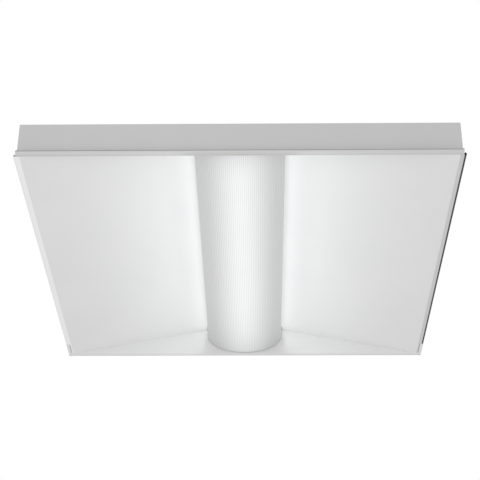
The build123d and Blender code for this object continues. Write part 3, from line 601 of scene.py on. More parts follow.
@dataclass
class Shape:
    """Vertices and faces worked out with numpy, before they become a piece."""

    points: np.ndarray
    faces: list[tuple[int, ...]]

    def moved(self, x: float, y: float, z: float) -> "Shape":
        """This shape moved by x, y and z."""
        return Shape(self.points + np.array((x, y, z)), self.faces)

    def at(self, places: list[Point]) -> "Shape":
        """A copy of this shape at each place, as one shape."""
        return Shape.joined([self.moved(*place) for place in places])

    def turned(self, matrix: np.ndarray) -> "Shape":
        """This shape turned by a three by three matrix, which may mirror it."""
        faces = self.faces if np.linalg.det(matrix) > 0 else [face[::-1] for face in self.faces]
        return Shape(self.points @ matrix.T, faces)

    @staticmethod
    def joined(shapes: list["Shape"]) -> "Shape":
        """Several shapes as one, each still a closed skin of its own."""
        faces: list[tuple[int, ...]] = []
        start = 0
        for shape in shapes:
            faces += [tuple(index + start for index in face) for face in shape.faces]
            start += len(shape.points)
        return Shape(np.concatenate([shape.points for shape in shapes]), faces)

    @staticmethod
    def rings(grid: np.ndarray, wraps: bool = False) -> "Shape":
        """Skins a stack of closed rings.

        Args:
            grid: Rings by points by three. Each ring runs anticlockwise seen from
                the side that the stack grows towards.
            wraps: Whether the last ring joins the first, as on a washer. If not,
                the first and last rings are closed by one face each.

        Returns:
            The closed skin.
        """
        count, around = grid.shape[:2]
        first = np.arange(count if wraps else count - 1)[:, None]
        second = (first + 1) % count
        here = np.arange(around)[None, :]
        after = (here + 1) % around
        corners = [first * around + here, first * around + after]
        corners += [second * around + after, second * around + here]
        faces = [tuple(face) for face in np.stack(corners, -1).reshape(-1, 4).tolist()]
        if not wraps:
            faces.append(tuple(range(around - 1, -1, -1)))
            faces.append(tuple(range((count - 1) * around, count * around)))
        return Shape(grid.reshape(-1, 3), faces)

    @staticmethod
    def lathe(profile: list[tuple[Any, Any]], angle: np.ndarray) -> "Shape":
        """Turns a profile about Z: radius times cosine, radius times sine, height.

        Args:
            profile: Radius and height from the bottom up, each a number or an array
                with one value to each angle.
            angle: The angles of the points round each ring.

        Returns:
            The closed skin.
        """
        x, y = np.cos(angle), np.sin(angle)
        return Shape.rings(np.stack([np.stack((r * x, r * y, z + 0 * x), -1) for r, z in profile]))

    @staticmethod
    def tube(path: np.ndarray, radius: float, around: int = 14, side: Point = (1, 0, 0)) -> "Shape":
        """A round lead along a path.

        Each ring is the path's point plus radius times the cosine and sine of the
        angle round it, along two directions square to the path. The first is the
        given side with its part along the path taken out.

        Args:
            path: Points by three.
            radius: The lead's radius.
            around: Points round each ring.
            side: A direction that the path never runs along.

        Returns:
            The closed skin.
        """
        along = np.gradient(path, axis=0)
        along /= np.linalg.norm(along, axis=1, keepdims=True)
        across = np.array(side, float) - along * (along @ np.array(side, float))[:, None]
        across /= np.linalg.norm(across, axis=1, keepdims=True)
        other = np.cross(along, across)
        angle = circle(around)[None, :, None]
        ring = across[:, None] * np.cos(angle) + other[:, None] * np.sin(angle)
        return Shape.rings(path[:, None] + radius * ring)

    def piece(
        self, name: str, finish: Finish, slot: str, stands_for: tuple[str, ...] = (),
        body: str = "housing", sharp: float = 35.0,
    ) -> bpy.types.Object:
        """Makes the shape a piece of the light.

        Args:
            name: The piece's name.
            finish: Its finish.
            slot: The record's material slot. Not used.
            stands_for: CAD nodes that it replaces.
            body: The CAD body that it rides on.
            sharp: Edges that turn by more degrees than this stay sharp.

        Returns:
            The piece.
        """
        mesh = bpy.data.meshes.new(name)
        mesh.from_pydata(self.points.tolist(), [], self.faces)
        mesh.validate()
        mesh.update()
        mesh.shade_smooth()
        mesh.set_sharp_from_angle(angle=math.radians(sharp))
        mesh.materials.append(finish.material())
        made = bpy.data.objects.new(name, mesh)
        bpy.context.scene.collection.objects.link(made)
        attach(made, body)
        if stands_for:
            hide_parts(*stands_for)
        log.info("piece %s: %d faces on %s", name, len(self.faces), body)
        return made


def smooth_route(points: list[Point], radius: float, steps: int = 9) -> np.ndarray:
    """A route whose corners are rounded by parabolas.

    Near each corner the route is (1 - t) squared times the point before it, plus
    2t(1 - t) times the corner, plus t squared times the point after it.

    Args:
        points: The route's corners and ends.
        radius: How far from each corner its curve starts.
        steps: Points on each curve.

    Returns:
        Points by three.
    """
    corners = np.array(points, float)
    share = np.linspace(0, 1, steps)[:, None]
    runs = [corners[:1]]
    for before, corner, after in zip(corners, corners[1:], corners[2:]):
        near = corner + radius * (before - corner) / np.linalg.norm(before - corner)
        past = corner + radius * (after - corner) / np.linalg.norm(after - corner)
        runs.append((1 - share) ** 2 * near + 2 * share * (1 - share) * corner + share**2 * past)
    runs.append(corners[-1:])
    return np.concatenate(runs)


# ---- sub-assemblies


@dataclass
class CadDress:
    """Finishes for the CAD nodes that keep their solids."""

    finishes: dict[Finish, tuple[str, ...]] = field(
        default_factory=lambda: {
            Finish.WHITE: ("driver_cover", "wiring_box"),
            Finish.LEFT_WING: ("wing_left",),
            Finish.FRONT_PLATE: ("end_plate_front",),
            Finish.REAR_PLATE: ("end_plate_rear",),
            Finish.RIGHT_WING: ("wing_right",),
            Finish.TRAY: ("led_tray", "cover_hinge_leaves"),
            Finish.GALVANISED: (
                "access_plate", "knockout_slug", "driver_base", *at_corners("grid_clip"),
            ),
            Finish.ZINC: ("hinge_pins", "latch_receptacle"),
            Finish.SPRING: ("diffuser_clips",),
            Finish.MASK: at_corners("led_board"),
            Finish.WHITE_NYLON: ("board_connectors",),
            Finish.DRIVER: ("driver_case",),
        }
    )

    def build(self) -> None:
        """Puts each finish on its nodes."""
        for finish, names in self.finishes.items():
            for name in names:
                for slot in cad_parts[name].material_slots:
                    slot.material = finish.material()
                log.info("node %s: %s", name, finish.value.name)


@dataclass
class Diffuser:
    """Extruded trough with a ribbed belly, and the moulded caps that close it."""

    attribute: ClassVar[str] = "groove_depth"
    top_half: float = 0.0634
    half_width: float = 0.0625  # where the belly starts
    wall: float = 0.0018
    bottom: float = 0.0013
    top: float = 0.0499
    belly: float = 0.030  # depth of the rounded belly
    half_length: float = 0.290325
    pitch: float = 0.0028
    groove_width: float = 0.0023
    groove_depth: float = 0.00045
    groove_floor: float = 0.12  # the floor's share of a groove's width
    margin: float = 0.005
    cap: float = 0.0015
    cap_overlap: float = 0.0002
    plug: float = 0.003
    plug_gap: float = 0.0002
    stations: int = 9  # rings along the trough

    def curve(self) -> tuple[np.ndarray, np.ndarray]:
        """The trough's outline, and how far along it each point lies.

        From the top of the left wall it runs down to the belly, which is half an
        ellipse: X is less half the width times the cosine of the angle, and Z is the
        wall's foot less the belly's depth times the sine. Then it runs up the right
        wall.

        Returns:
            Points by two, and their distances from the start.
        """
        angle = np.linspace(0, math.pi, 1201)
        foot = self.bottom + self.belly
        belly = np.stack((-self.half_width * np.cos(angle), foot - self.belly * np.sin(angle)), -1)
        side = np.linspace(0, 1, 60, endpoint=False)[:, None]
        left = (1 - side) * (-self.top_half, self.top) + side * belly[0]
        points = np.concatenate((left, belly, (left * (-1, 1))[::-1]))
        steps = np.linalg.norm(np.diff(points, axis=0), axis=1)
        return points, np.concatenate(([0.0], np.cumsum(steps)))

    def offset(self, runs: np.ndarray, inset: np.ndarray | float) -> np.ndarray:
        """Points at some distances along the outline, moved square to it.

        Args:
            runs: Distances from the start.
            inset: How far inwards each point is moved.

        Returns:
            Points by two: X and Z.
        """
        points, lengths = self.curve()
        along = np.gradient(points, lengths, axis=0)
        place = np.stack([np.interp(runs, lengths, column) for column in points.T], -1)
        heading = np.stack([np.interp(runs, lengths, column) for column in along.T], -1)
        heading /= np.linalg.norm(heading, axis=1, keepdims=True)
        inwards = np.stack((-heading[:, 1], heading[:, 0]), -1)
        return place + inwards * np.reshape(inset, (-1, 1))

    def trough(self) -> None:
        """Carries the grooved outline along Y, and marks how deep each point lies."""
        length = self.curve()[1][-1]
        count = int((length - 2 * self.margin) / self.pitch)
        first = (length - (count - 1) * self.pitch) / 2
        middles = first + self.pitch * np.arange(count)[:, None]
        floor = self.groove_floor
        offsets = self.groove_width / 2 * np.array([-1.0, -floor, floor, 1.0])
        runs = np.concatenate(([0.0], (middles + offsets).ravel(), [length]))
        depth = np.concatenate(([0.0], np.tile([0.0, 1.0, 1.0, 0.0], count), [0.0]))
        outer = self.offset(runs, depth * self.groove_depth)
        inner = self.offset(np.linspace(length, 0, 2 * count), self.wall)
        ring = np.concatenate((outer, inner))
        places = np.linspace(self.half_length, -self.half_length, self.stations)
        lens = self.extruded(np.repeat(ring[None], self.stations, 0), places).piece(
            "diffuser_ribbed", Finish.ACRYLIC, "diffuser_acrylic", ("diffuser",), "diffuser", 12.0
        )
        deep = np.concatenate((depth, np.zeros(len(inner))))
        marks = lens.data.attributes.new(self.attribute, "FLOAT", "POINT")
        marks.data.foreach_set("value", np.tile(deep, self.stations).astype(np.float32))

    def caps(self) -> None:
        """End caps: a plate over the trough's end, and a plug inside its walls."""
        length = self.curve()[1][-1]
        runs = np.linspace(0, length, 91)
        end, face = self.half_length, self.half_length + self.cap
        steps = (
            (face, 0.0004), (face - 0.0002, 0.0), (face - 0.0004, -self.cap_overlap),
            (end + 0.00005, -self.cap_overlap), (end + 0.00005, self.wall + self.plug_gap),
            (end - self.plug, self.wall + self.plug_gap),
        )
        rings = np.stack([self.offset(runs, inset) for _, inset in steps])
        rear = self.extruded(rings, np.array([y for y, _ in steps]))
        front = rear.turned(np.diag((1.0, -1.0, 1.0)))
        for name, cap in (("rear", rear), ("front", front)):
            node = f"diffuser_cap_{name}"
            cap.piece(f"moulded_cap_{name}", Finish.CAP, "white_plastic", (node,), "diffuser")

    @staticmethod
    def extruded(rings: np.ndarray, stations: np.ndarray) -> Shape:
        """The closed skin of X and Z rings set at stations along Y, from the rear forwards."""
        y = np.broadcast_to(stations[:, None], rings.shape[:2])
        return Shape.rings(np.stack((rings[..., 0], y, rings[..., 1]), -1))

    def build(self) -> None:
        """Makes the trough and both caps."""
        self.trough()
        self.caps()


@dataclass
class Screws:
    """Hex washer-head and cross-recess screws, modelled once and set at each place."""

    shank: float = 0.0017
    thread_pitch: float = 0.0007
    washer: float = 0.0046
    flat: float = 0.00312  # half across the hex flats
    head: float = 0.0024
    small_shank: float = 0.0013
    small_head: float = 0.0024
    small_height: float = 0.0014
    cross: Point = (0.00036, 0.0015, 0.0008)  # a bar's half width, its reach and its depth
    length: float = 0.0056
    seat: float = 0.052
    wing_x: float = 0.05965
    wing_ys: tuple[float, ...] = (-0.225, -0.075, 0.075, 0.225)
    end_x: float = 0.030
    end_y: float = 0.286075
    box_x: float = 0.049
    box_ys: tuple[float, ...] = (0.163, 0.209)
    ground: Point = (0.030, 0.150, 0.0512)
    driver: tuple[Point, ...] = ((-0.014, -0.229, 0.0524), (-0.014, 0.025, 0.0524))
    access: tuple[Point, ...] = ((0, 0.138, 0.078), (0, 0.234, 0.078))
    board_x: float = 0.020
    board_ys: tuple[float, float] = (0.1440125, 0.1260125)  # a board's middle, its screws' offset
    board_seat: float = 0.0488

    def hex_screw(self, length: float) -> Shape:
        """A hex washer-head screw standing on Z = 0.

        On the head a ring's radius is half the width across flats, divided by the
        cosine of the angle from the nearest flat's middle, and no more than the
        turned chamfer lets it be. The shank's radius follows a saw-tooth thread.

        Args:
            length: Shank length below the seat.

        Returns:
            The screw.
        """
        angle = circle(48)
        hexagon = self.flat / np.cos((angle + math.pi / 6) % (math.pi / 3) - math.pi / 6)
        turns = max(2, round(length / self.thread_pitch))
        heights = np.linspace(-length, 0, 2 * turns + 1)
        thread = np.where(np.arange(2 * turns + 1) % 2, self.shank, self.shank * 0.8)
        head = [
            (self.washer, 0.0), (self.washer, 0.0003), (self.washer * 0.93, 0.00055),
            (hexagon * 1.02, 0.0006), (hexagon, 0.0008), (hexagon, self.head - 0.0004),
            (np.minimum(hexagon, self.flat * 0.98), self.head), (self.flat * 0.62, self.head),
            (self.flat * 0.40, self.head - 0.00035),
        ]
        return Shape.lathe([*zip(thread, heights), *head], angle)

    def pan_screw(self, length: float) -> Shape:
        """A pan-head screw with a cross recess, standing on Z = 0.

        The head's height is 1 less the radius to the power 3, less a pit whose
        depth is where the point lies within either bar of the cross.

        Args:
            length: Shank length below the seat.

        Returns:
            The screw.
        """
        angle = circle(40)
        bar, reach, deep = self.cross
        share = np.array([1.0, 0.94, 0.84, 0.72, 0.6, 0.5, 0.4, 0.3, 0.2, 0.1])[:, None]
        radius = self.small_head * share
        x, y = abs(radius * np.cos(angle)), abs(radius * np.sin(angle))
        pit = (np.minimum(x, y) < bar) & (np.maximum(x, y) < reach)
        height = self.small_height * (1 - 0.62 * (radius / self.small_head) ** 3) - deep * pit
        shank = [(self.small_shank, -length), (self.small_shank, 0.0), (self.small_head, 0.0)]
        return Shape.lathe([*shank, *zip(radius, height)], angle)

    def build(self) -> None:
        """Places every screw, each group as one piece."""
        long, short = self.hex_screw(self.length), self.pan_screw(0.0024)
        wing = [(s * self.wing_x, y, self.seat) for s in BOTH for y in self.wing_ys]
        ends = [(s * self.end_x, t * self.end_y, self.seat) for s, t in FOUR]
        box = [(s * self.box_x, y, self.seat) for s in BOTH for y in self.box_ys]
        middle, away = self.board_ys
        boards = [
            (s * self.board_x, t * middle + u * away, self.board_seat)
            for s, t in FOUR
            for u in BOTH
        ]
        zinc, green = (Finish.ZINC, "zinc_steel"), (Finish.GREEN_PLATE, "ground_green")
        for name, node, screw, places, look in (
            ("wing_hex_screws", "wing_screws", long, wing, zinc),
            ("end_plate_hex_screws", "end_plate_screws", long, ends, zinc),
            ("wiring_box_hex_screws", "wiring_box_screws", long, box, zinc),
            ("ground_hex_screw", "ground_screw", self.hex_screw(0.0008), [self.ground], green),
            ("driver_pan_screws", "driver_screws", self.pan_screw(0.002), self.driver, zinc),
            ("access_pan_screws", "access_plate_screws", short, self.access, zinc),
            ("board_pan_screws", "board_screws", short.turned(UPSIDE_DOWN), boards, zinc),
        ):
            screw.at(places).piece(name, *look, (node,))


@dataclass
class GridClipRivets:
    """Domed rivets that the four grid clips swing on."""

    x: float = 0.297975  # underside of the head
    inner_x: float = 0.295425
    y: float = 0.278325
    z: float = 0.0438
    shank: float = 0.0015
    head: float = 0.0032
    height: float = 0.0011
    tail: float = 0.0026

    def build(self) -> None:
        """Turns one rivet and sets it at each corner."""
        length = self.x - self.inner_x
        dome = [
            (self.head * math.cos(a), self.height * (0.25 + 0.75 * math.sin(a)))
            for a in np.linspace(0, 1.45, 7)
        ]
        profile = [
            (self.tail * 0.8, -length), (self.tail, -length + 0.0003),
            (self.tail, -length + 0.0008), (self.shank, -length + 0.0008), (self.shank, 0.0),
            (self.head, 0.0), *dome,
        ]
        upright = Shape.lathe(profile, circle(32))
        rivets = []
        for side in BOTH:
            lying = upright.turned(np.array(((0, 0, side), (0, 1, 0), (-side, 0, 0)), float))
            rivets.append(lying.at([(side * self.x, end * self.y, self.z) for end in BOTH]))
        Shape.joined(rivets).piece(
            "grid_clip_domed_rivets", Finish.ZINC, "zinc_steel", ("grid_clip_rivets",)
        )


@dataclass
class CoverLatch:
    """Quarter-turn latch with a knurled head and a wing to grip."""

    x: float = 0.0493
    y: float = -0.055
    seat: float = 0.0524
    radius: float = 0.0044
    height: float = 0.002
    shank: float = 0.0019
    low: float = 0.0474
    grip_half: float = 0.0041
    grip_width: float = 0.0011
    grip_height: float = 0.005
    knurls: int = 24

    def head(self) -> Shape:
        """The head and shank: a ring's radius swells and shrinks with the knurls."""
        angle = circle(96)
        rim = self.radius * 0.965 * (1 + 0.035 * np.cos(self.knurls * angle))
        length = self.seat - self.low
        profile = [
            (self.shank * 0.8, -length), (self.shank, -length + 0.0006), (self.shank, 0.0),
            (self.radius * 0.95, 0.0), (rim, 0.0003), (rim, self.height - 0.0003),
            (self.radius * 0.9, self.height), (self.radius * 0.3, self.height),
        ]
        return Shape.lathe(profile, angle)

    def grip(self) -> Shape:
        """The wing: a stadium whose rings narrow towards the rounded top."""
        angle = circle(40)
        rise = np.linspace(0, 1, 9)[:, None]
        share = np.sqrt(np.clip(1 - 0.9 * rise**6, 0, 1))
        radius = self.grip_width * share
        reach = (self.grip_half - self.grip_width) * (0.55 + 0.45 * share) * (1 - 0.25 * rise)
        x = radius * np.cos(angle) + reach * np.sign(np.round(np.cos(angle), 6))
        y = radius * np.sin(angle)
        z = self.height - 0.0002 + (self.grip_height + 0.0002) * rise + 0 * x
        return Shape.rings(np.stack((x, y, z), -1))

    def build(self) -> None:
        """Makes the latch."""
        latch = Shape.joined([self.head(), self.grip()]).moved(self.x, self.y, self.seat)
        latch.piece("cover_latch_knob", Finish.ZINC, "zinc_steel", ("cover_latch",), "cover_latch")


@dataclass
class Bushings:
    """Snap bushing in the tray and grommet in the wiring box's wall."""

    slot_radius: float = 0.0049
    slot_reach: float = 0.006  # from the middle to each round end's centre
    slot_wall: float = 0.0015
    rim: float = 0.0015
    lip: float = 0.0011
    tray_top: float = 0.0512
    bushing_y: float = 0.045
    grommet_bore: float = 0.006
    grommet_neck: float = 0.0066
    grommet_rim: float = 0.0076
    wall_y: float = 0.132
    wire_x: float = -0.028
    wire_z: float = 0.0617

    def ring(self, profile: list[tuple[float, float]], reach: float) -> Shape:
        """Carries a closed profile round a stadium.

        Each point lies at the profile's radius round the circle, and is then moved
        along Y by the reach, towards the side that the angle's sine points to.

        Args:
            profile: Radius and height, anticlockwise with the radius to the right.
            reach: From the middle to each round end's centre.

        Returns:
            The closed skin.
        """
        angle = circle(48) + math.pi / 48
        radius, height = np.array(profile, float).T
        x = radius[:, None] * np.cos(angle)
        y = radius[:, None] * np.sin(angle) + reach * np.sign(np.sin(angle))
        z = np.broadcast_to(height[:, None], x.shape)
        return Shape.rings(np.stack((x, y, z), -1), wraps=True)

    def build(self) -> None:
        """Makes both bushings."""
        neck, top = self.slot_radius, self.tray_top
        bore, rim = neck - self.slot_wall, neck + self.rim
        profile = [
            (bore, top - 0.0019), (neck, top - 0.0019), (neck, top + 0.00002), (rim, top + 0.00002),
            (rim, top + 0.0005), (neck + self.rim * 0.6, top + self.lip),
            (bore + 0.0004, top + self.lip), (bore, top + 0.0007),
        ]
        bushing = self.ring(profile, self.slot_reach).moved(0, self.bushing_y, 0)
        bushing.piece("tray_snap_bushing", Finish.BLACK_NYLON, "black_plastic", ("tray_bushing",))
        profile = [
            (self.grommet_bore, -0.0016), (self.grommet_neck, -0.0016),
            (self.grommet_neck, 0.00002), (self.grommet_rim, 0.00002), (self.grommet_rim, 0.0004),
            (self.grommet_rim - 0.0004, 0.0008), (self.grommet_bore + 0.0003, 0.0008),
            (self.grommet_bore, 0.0005),
        ]
        facing_front = np.array(((1, 0, 0), (0, 0, -1), (0, 1, 0)), float)
        grommet = self.ring(profile, 0.0).turned(facing_front)
        grommet = grommet.moved(self.wire_x, self.wall_y, self.wire_z)
        grommet.piece("wiring_box_grommet", Finish.BLACK_NYLON, "black_plastic", ("box_grommet",))


@dataclass
class Leads:
    """Round leads: three mains leads, the feed leads and the board jumpers."""

    mains_radius: float = 0.0013
    feed_radius: float = 0.0008
    terminal_y: float = 0.027
    plug_y: float = 0.150
    wire_x: float = -0.028
    pitch: float = 0.004
    wire_z: float = 0.0617
    sag: float = 0.0024
    connector_z: float = 0.0468
    bushing_y: float = 0.045
    bowed: float = 0.86  # share of a mains lead's run that bows
    spread: float = 0.0004  # how far the outer mains leads bow sideways
    half_pair: float = 0.002  # half the distance between two leads of a pair
    feed_x: float = 0.0022
    feed_end_x: float = 0.008
    feed_bend: float = 0.0024
    jumper_x: float = 0.012
    jumper_reach: float = 0.004

    def mains(self, step: int, dip: float) -> Shape:
        """One mains lead.

        Its height is the terminals' height plus the dip times the sag times the
        squared sine of half a turn along the bowed share, so both ends are level.

        Args:
            step: -1, 0 or 1, across the bundle.
            dip: Share of the sag, upwards if positive.

        Returns:
            The lead.
        """
        run = np.linspace(0, 1, 40)
        y = self.terminal_y + run * (self.plug_y - self.terminal_y)
        bow = np.sin(math.pi * np.clip(run / self.bowed, 0, 1)) ** 2
        x = self.wire_x + step * self.pitch + self.spread * step * bow
        z = self.wire_z + dip * self.sag * bow
        return Shape.tube(np.stack((x, y, z), -1), self.mains_radius)

    def feed(self, side: int, end: int) -> Shape:
        """One feed lead, from the driver down through the bushing to a board.

        Args:
            side: -1 for the left pair of boards or 1 for the right.
            end: -1 for the lower lead or 1 for the upper.

        Returns:
            The lead.
        """
        off = end * self.half_pair
        x, y, z = side * self.feed_x, self.bushing_y + off, self.wire_z + off
        route = [(x, self.terminal_y, z), (x, y, z), (x, y, self.connector_z)]
        route.append((side * self.feed_end_x, y, self.connector_z))
        path = smooth_route(route, self.feed_bend)
        return Shape.tube(path, self.feed_radius, side=(0.3, 0.5, 0.8))

    def build(self) -> None:
        """Makes every lead."""
        for name, step, dip, finish in (
            ("line", -1, -1.0, Finish.BLACK_WIRE),
            ("neutral", 0, 0.4, Finish.WHITE_WIRE),
            ("ground", 1, -0.5, Finish.GREEN_WIRE),
        ):
            slot = finish.name.split("_")[0].lower()
            self.mains(step, dip).piece(f"{name}_lead", finish, f"wire_{slot}", (f"{name}_wire",))
        Shape.joined([self.feed(side, end) for side, end in FOUR]).piece(
            "feed_leads", Finish.RED_WIRE, "wire_red", ("feed_wires",)
        )
        ys = (-self.jumper_reach, 0.0, self.jumper_reach)
        jumpers = [
            Shape.tube(np.array([(x, y, self.connector_z) for y in ys]), self.feed_radius)
            for x in (s * self.jumper_x + t * self.half_pair for s, t in FOUR)
        ]
        Shape.joined(jumpers).piece(
            "board_jumper_leads", Finish.WHITE_WIRE, "wire_white", ("board_jumpers",)
        )


@dataclass
class Packages:
    """LED packages: a square frame with a dished round window."""

    half: float = 0.0015
    height: float = 0.0007
    window: float = 0.00125
    under: float = 0.0488
    row_x: float = 0.020
    board_y: float = 0.1440125
    pitch: float = 0.014
    count: int = 20

    def build(self) -> None:
        """Makes one package and repeats it along the boards.

        A ring's point is the circle's, pushed out to the square by dividing by the
        larger of its cosine and sine.
        """
        angle = circle(16) + math.pi / 16
        square = 1 / np.maximum(abs(np.cos(angle)), abs(np.sin(angle)))
        profile = [
            (self.half * square, 0.0), (self.half * square, self.height - 0.0001),
            ((self.half - 0.0001) * square, self.height), (self.window, self.height),
            (self.window * 0.94, self.height - 0.0001),
        ]
        steps = (np.arange(self.count) - (self.count - 1) / 2) * self.pitch
        places = [
            (s * self.row_x, t * self.board_y + step, self.under)
            for s, t in FOUR
            for step in steps
        ]
        Shape.lathe(profile, angle).turned(UPSIDE_DOWN).at(places).piece(
            "led_packages", Finish.PACKAGE, "led_phosphor", ("led_chips",)
        )


@dataclass
class Connectors:
    """The driver's terminal blocks and the mains disconnect."""

    input_x: float = -0.028
    output_x: float = 0.0
    wire_z: float = 0.0617
    driver_y: float = 0.018
    depth: float = 0.009
    width: float = 0.013
    height: float = 0.011
    plug_y: float = 0.150
    plug_length: float = 0.016
    plug_width: float = 0.016

    def block(self, rings: list[tuple[float, float, float]], power: float) -> Shape:
        """A moulded block along Y, from rounded rectangles.

        A ring's point is half its width and half its height times the cosine and
        sine of the angle, each to the power 2 over the given one, signs kept.

        Args:
            rings: Place along Y, half width and half height.
            power: 2 for an ellipse, more for squarer corners.

        Returns:
            The block.
        """
        angle = circle(40)
        cosine = np.sign(np.cos(angle)) * abs(np.cos(angle)) ** (2 / power)
        sine = np.sign(np.sin(angle)) * abs(np.sin(angle)) ** (2 / power)
        grid = [np.stack((-w * cosine, y + 0 * angle, h * sine), -1) for y, w, h in rings]
        return Shape.rings(np.stack(grid))

    def terminals(self) -> None:
        """Terminal blocks with release levers over each lead."""
        w, h = self.width / 2, self.height / 2
        ends = [(0.0, 0.0), (self.depth - 0.0008, 0.0)]
        ends += [(self.depth - 0.0002, 0.0003), (self.depth, 0.0008)]
        body = self.block([(y, w - inset, h - inset) for y, inset in ends], 9.0)
        slim, full = (0.0009, 0.0006), (0.0014, 0.001)
        lever = self.block([(0.0016, *slim), (0.002, *full), (0.0072, *full), (0.0076, *slim)], 6.0)
        xs = (self.input_x, self.output_x)
        top = self.wire_z + h - 0.0002
        body.at([(x, self.driver_y, self.wire_z) for x in xs]).piece(
            "terminal_blocks", Finish.TERMINAL_GREY, "terminal_grey", ("driver_terminals",)
        )
        levers = [(x + step * 0.004, self.driver_y, top) for x in xs for step in (-1, 0, 1)]
        lever.at(levers).piece("terminal_levers", Finish.ORANGE, "disconnect_orange")

    def disconnect(self) -> None:
        """Plug with finger ribs, and the narrower socket behind it."""
        w, h, end = self.plug_width / 2, self.height / 2, self.plug_length
        plug = [(0.0, 0.0012), (0.0006, 0.0005)]
        for step in range(5):
            y = 0.003 + 0.0022 * step
            plug += [(y, 0.0005), (y + 0.0003, 0.0), (y + 0.0011, 0.0), (y + 0.0014, 0.0005)]
        plug.append((end, 0.0005))
        socket = [(end, 0.0009), (end + 0.012, 0.0009), (end + 0.0125, 0.0014)]
        socket += [(2 * end - 0.0006, 0.0014), (2 * end, 0.002)]
        for name, node, steps in (
            ("disconnect_ribbed_plug", "disconnect_plug", plug),
            ("disconnect_wire_socket", "disconnect_socket", socket),
        ):
            block = self.block([(y, w - inset, h - inset) for y, inset in steps], 7.0)
            block = block.moved(self.input_x, self.plug_y, self.wire_z)
            block.piece(name, Finish.ORANGE, "disconnect_orange", (node,))

    def build(self) -> None:
        """Makes the blocks and the disconnect."""
        self.terminals()
        self.disconnect()


# ---- studio


def posed(data: bpy.types.ID, *columns: Any) -> bpy.types.Object:
    """Puts a light or camera in the scene.

    Args:
        data: The light's or camera's data.
        *columns: Its right, its up, what lies behind it, and its place.

    Returns:
        The light or camera.
    """
    thing = bpy.data.objects.new(data.name, data)
    bpy.context.scene.collection.objects.link(thing)
    thing.matrix_world = Matrix([*np.stack(columns, 1).tolist(), [0, 0, 0, 1]])
    return thing


@dataclass(frozen=True)
class SoftLight:
    """One large soft light."""

    name: str
    place: Point
    aim: Point
    size: float
    watts: float
    length: float = 0.0  # level, across its aim, if it isn't square
    colour: Colour = (1.0, 1.0, 1.0)

    def build(self) -> None:
        """Hangs the light and points it."""
        data = bpy.data.lights.new(self.name, "AREA")
        data.size = self.size
        data.energy = self.watts
        data.color = self.colour
        if self.length:
            data.shape = "RECTANGLE"
            data.size, data.size_y = self.length, self.size
        away = np.array(self.place) - np.array(self.aim)
        away = away / np.linalg.norm(away)
        side = np.cross((0.0, 1.0, 0.0) if abs(away[2]) > 0.9 else (0.0, 0.0, 1.0), away)
        side /= np.linalg.norm(side)
        posed(data, side, np.cross(away, side), away, self.place).visible_camera = False


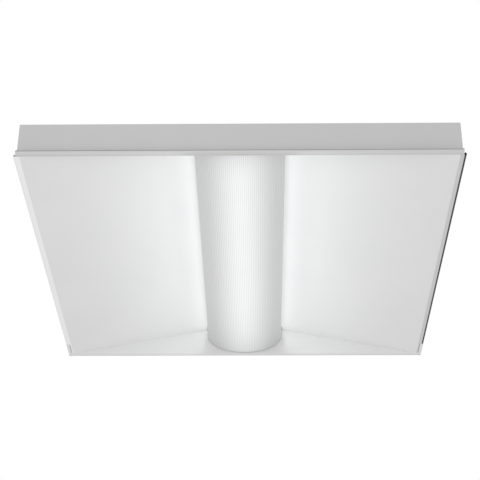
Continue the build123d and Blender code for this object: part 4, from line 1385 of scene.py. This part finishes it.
@dataclass
class Studio:
    """Pale floor, white surround, soft lights and the photograph's camera."""

    floor_z: float = -2.4
    floor_size: float = 240.0
    floor_glow: float = 0.50
    surround: float = 0.356
    place: Point = millimetres(27.209, -1701.611, -995.767)
    pitch: float = 31.519
    yaw: float = -1.042
    roll: float = 0.344
    focal_pixels: float = 1298.3
    frame_pixels: float = 480.0
    lights: tuple[SoftLight, ...] = (
        SoftLight("front_light", (-0.15, -1.4, -0.6), (0.0, -0.2, 0.0), 0.6, 2.9),
        SoftLight("over_light", (-1.2, 1.6, 2.4), (0.0, 0.0, 0.0), 1.8, 26.0),
        SoftLight("rear_light", (1.8, 2.2, 1.6), (0.0, 0.0, 0.0), 1.6, 12.0),
        *(
            SoftLight(
                f"{side}_{name}_glow", (s * x, 0, z), (s * to, 0, up), 0.03, watts, 0.57, LED_WHITE
            )
            for name, x, z, to, up, watts in (
                ("near", 0.066, 0.0245, 0.3, 0.0245, 0.030),
                ("far", 0.09, -0.05, 0.2, 0.03, 0.067),
            )
            for side, s in (("left", -1), ("right", 1))
        ),
    )

    def floor(self) -> None:
        """A plain pale floor far below the ceiling light."""
        half = self.floor_size / 2
        mesh = bpy.data.meshes.new("studio_floor")
        corners = [(-half, -half, 0), (half, -half, 0), (half, half, 0), (-half, half, 0)]
        mesh.from_pydata([(x, y, self.floor_z) for x, y, _ in corners], [], [(0, 1, 2, 3)])
        paint = Paint("studio_floor_paint")
        tone = paint.mixed(paint.noise(0.6, 2.0), (0.80, 0.80, 0.80), (0.77, 0.77, 0.77))
        glow = {"Emission_Color": tone, "Emission_Strength": self.floor_glow}
        mesh.materials.append(paint.finish(Base_Color=tone, Roughness=0.8, **glow))
        floor = bpy.data.objects.new("studio_floor", mesh)
        bpy.context.scene.collection.objects.link(floor)
        floor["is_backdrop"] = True

    def world(self) -> None:
        """A surround that the camera sees as white and the object as soft grey."""
        sky, white = Paint("studio_surround", "worlds"), (1, 1, 1, 1)
        seen = sky.add("ShaderNodeBackground", {"Color": white})
        soft = sky.add("ShaderNodeBackground", {"Color": white, "Strength": self.surround})
        ray = sky.add("ShaderNodeLightPath", output="Is Camera Ray")
        mix = sky.add("ShaderNodeMixShader", {0: ray, 1: soft, 2: seen})
        bpy.context.scene.world = sky.ended(mix, "ShaderNodeOutputWorld")
        view = bpy.context.scene.view_settings
        view.view_transform = "Standard"
        view.look = "None"
        view.exposure = 0.0

    def camera(self) -> None:
        """The photograph's camera, below the light and looking up at it."""
        pitch, yaw, roll = (math.radians(a) for a in (self.pitch, self.yaw, self.roll))
        ahead = np.array(
            (math.sin(yaw) * math.cos(pitch), math.cos(yaw) * math.cos(pitch), math.sin(pitch))
        )
        level = np.array((math.cos(yaw), -math.sin(yaw), 0.0))
        upright = np.cross(level, ahead)
        right = math.cos(roll) * level + math.sin(roll) * upright
        up = math.cos(roll) * upright - math.sin(roll) * level
        data = bpy.data.cameras.new("photo_camera")
        data.sensor_width = 36.0
        data.lens = self.focal_pixels * data.sensor_width / self.frame_pixels
        bpy.context.scene.camera = posed(data, right, up, -ahead, self.place)

    def build(self) -> None:
        """Sets up the whole studio."""
        self.floor()
        self.world()
        for light in self.lights:
            light.build()
        self.camera()
        log.info("studio: %d soft lights", len(self.lights))


def corners() -> list[list[float]]:
    """The shown object's lowest and highest corners as plain lists."""
    return [[float(value) for value in corner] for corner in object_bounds()]


def main() -> None:
    """Dresses the light and sets up the studio."""
    logging.basicConfig(level=logging.INFO, format="%(message)s")
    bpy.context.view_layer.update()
    Studio().build()
    for part in (
        CadDress(),
        Diffuser(),
        Screws(),
        GridClipRivets(),
        CoverLatch(),
        Bushings(),
        Leads(),
        Packages(),
        Connectors(),
    ):
        part.build()
    bpy.context.view_layer.update()


if __name__ == "__main__":
    main()
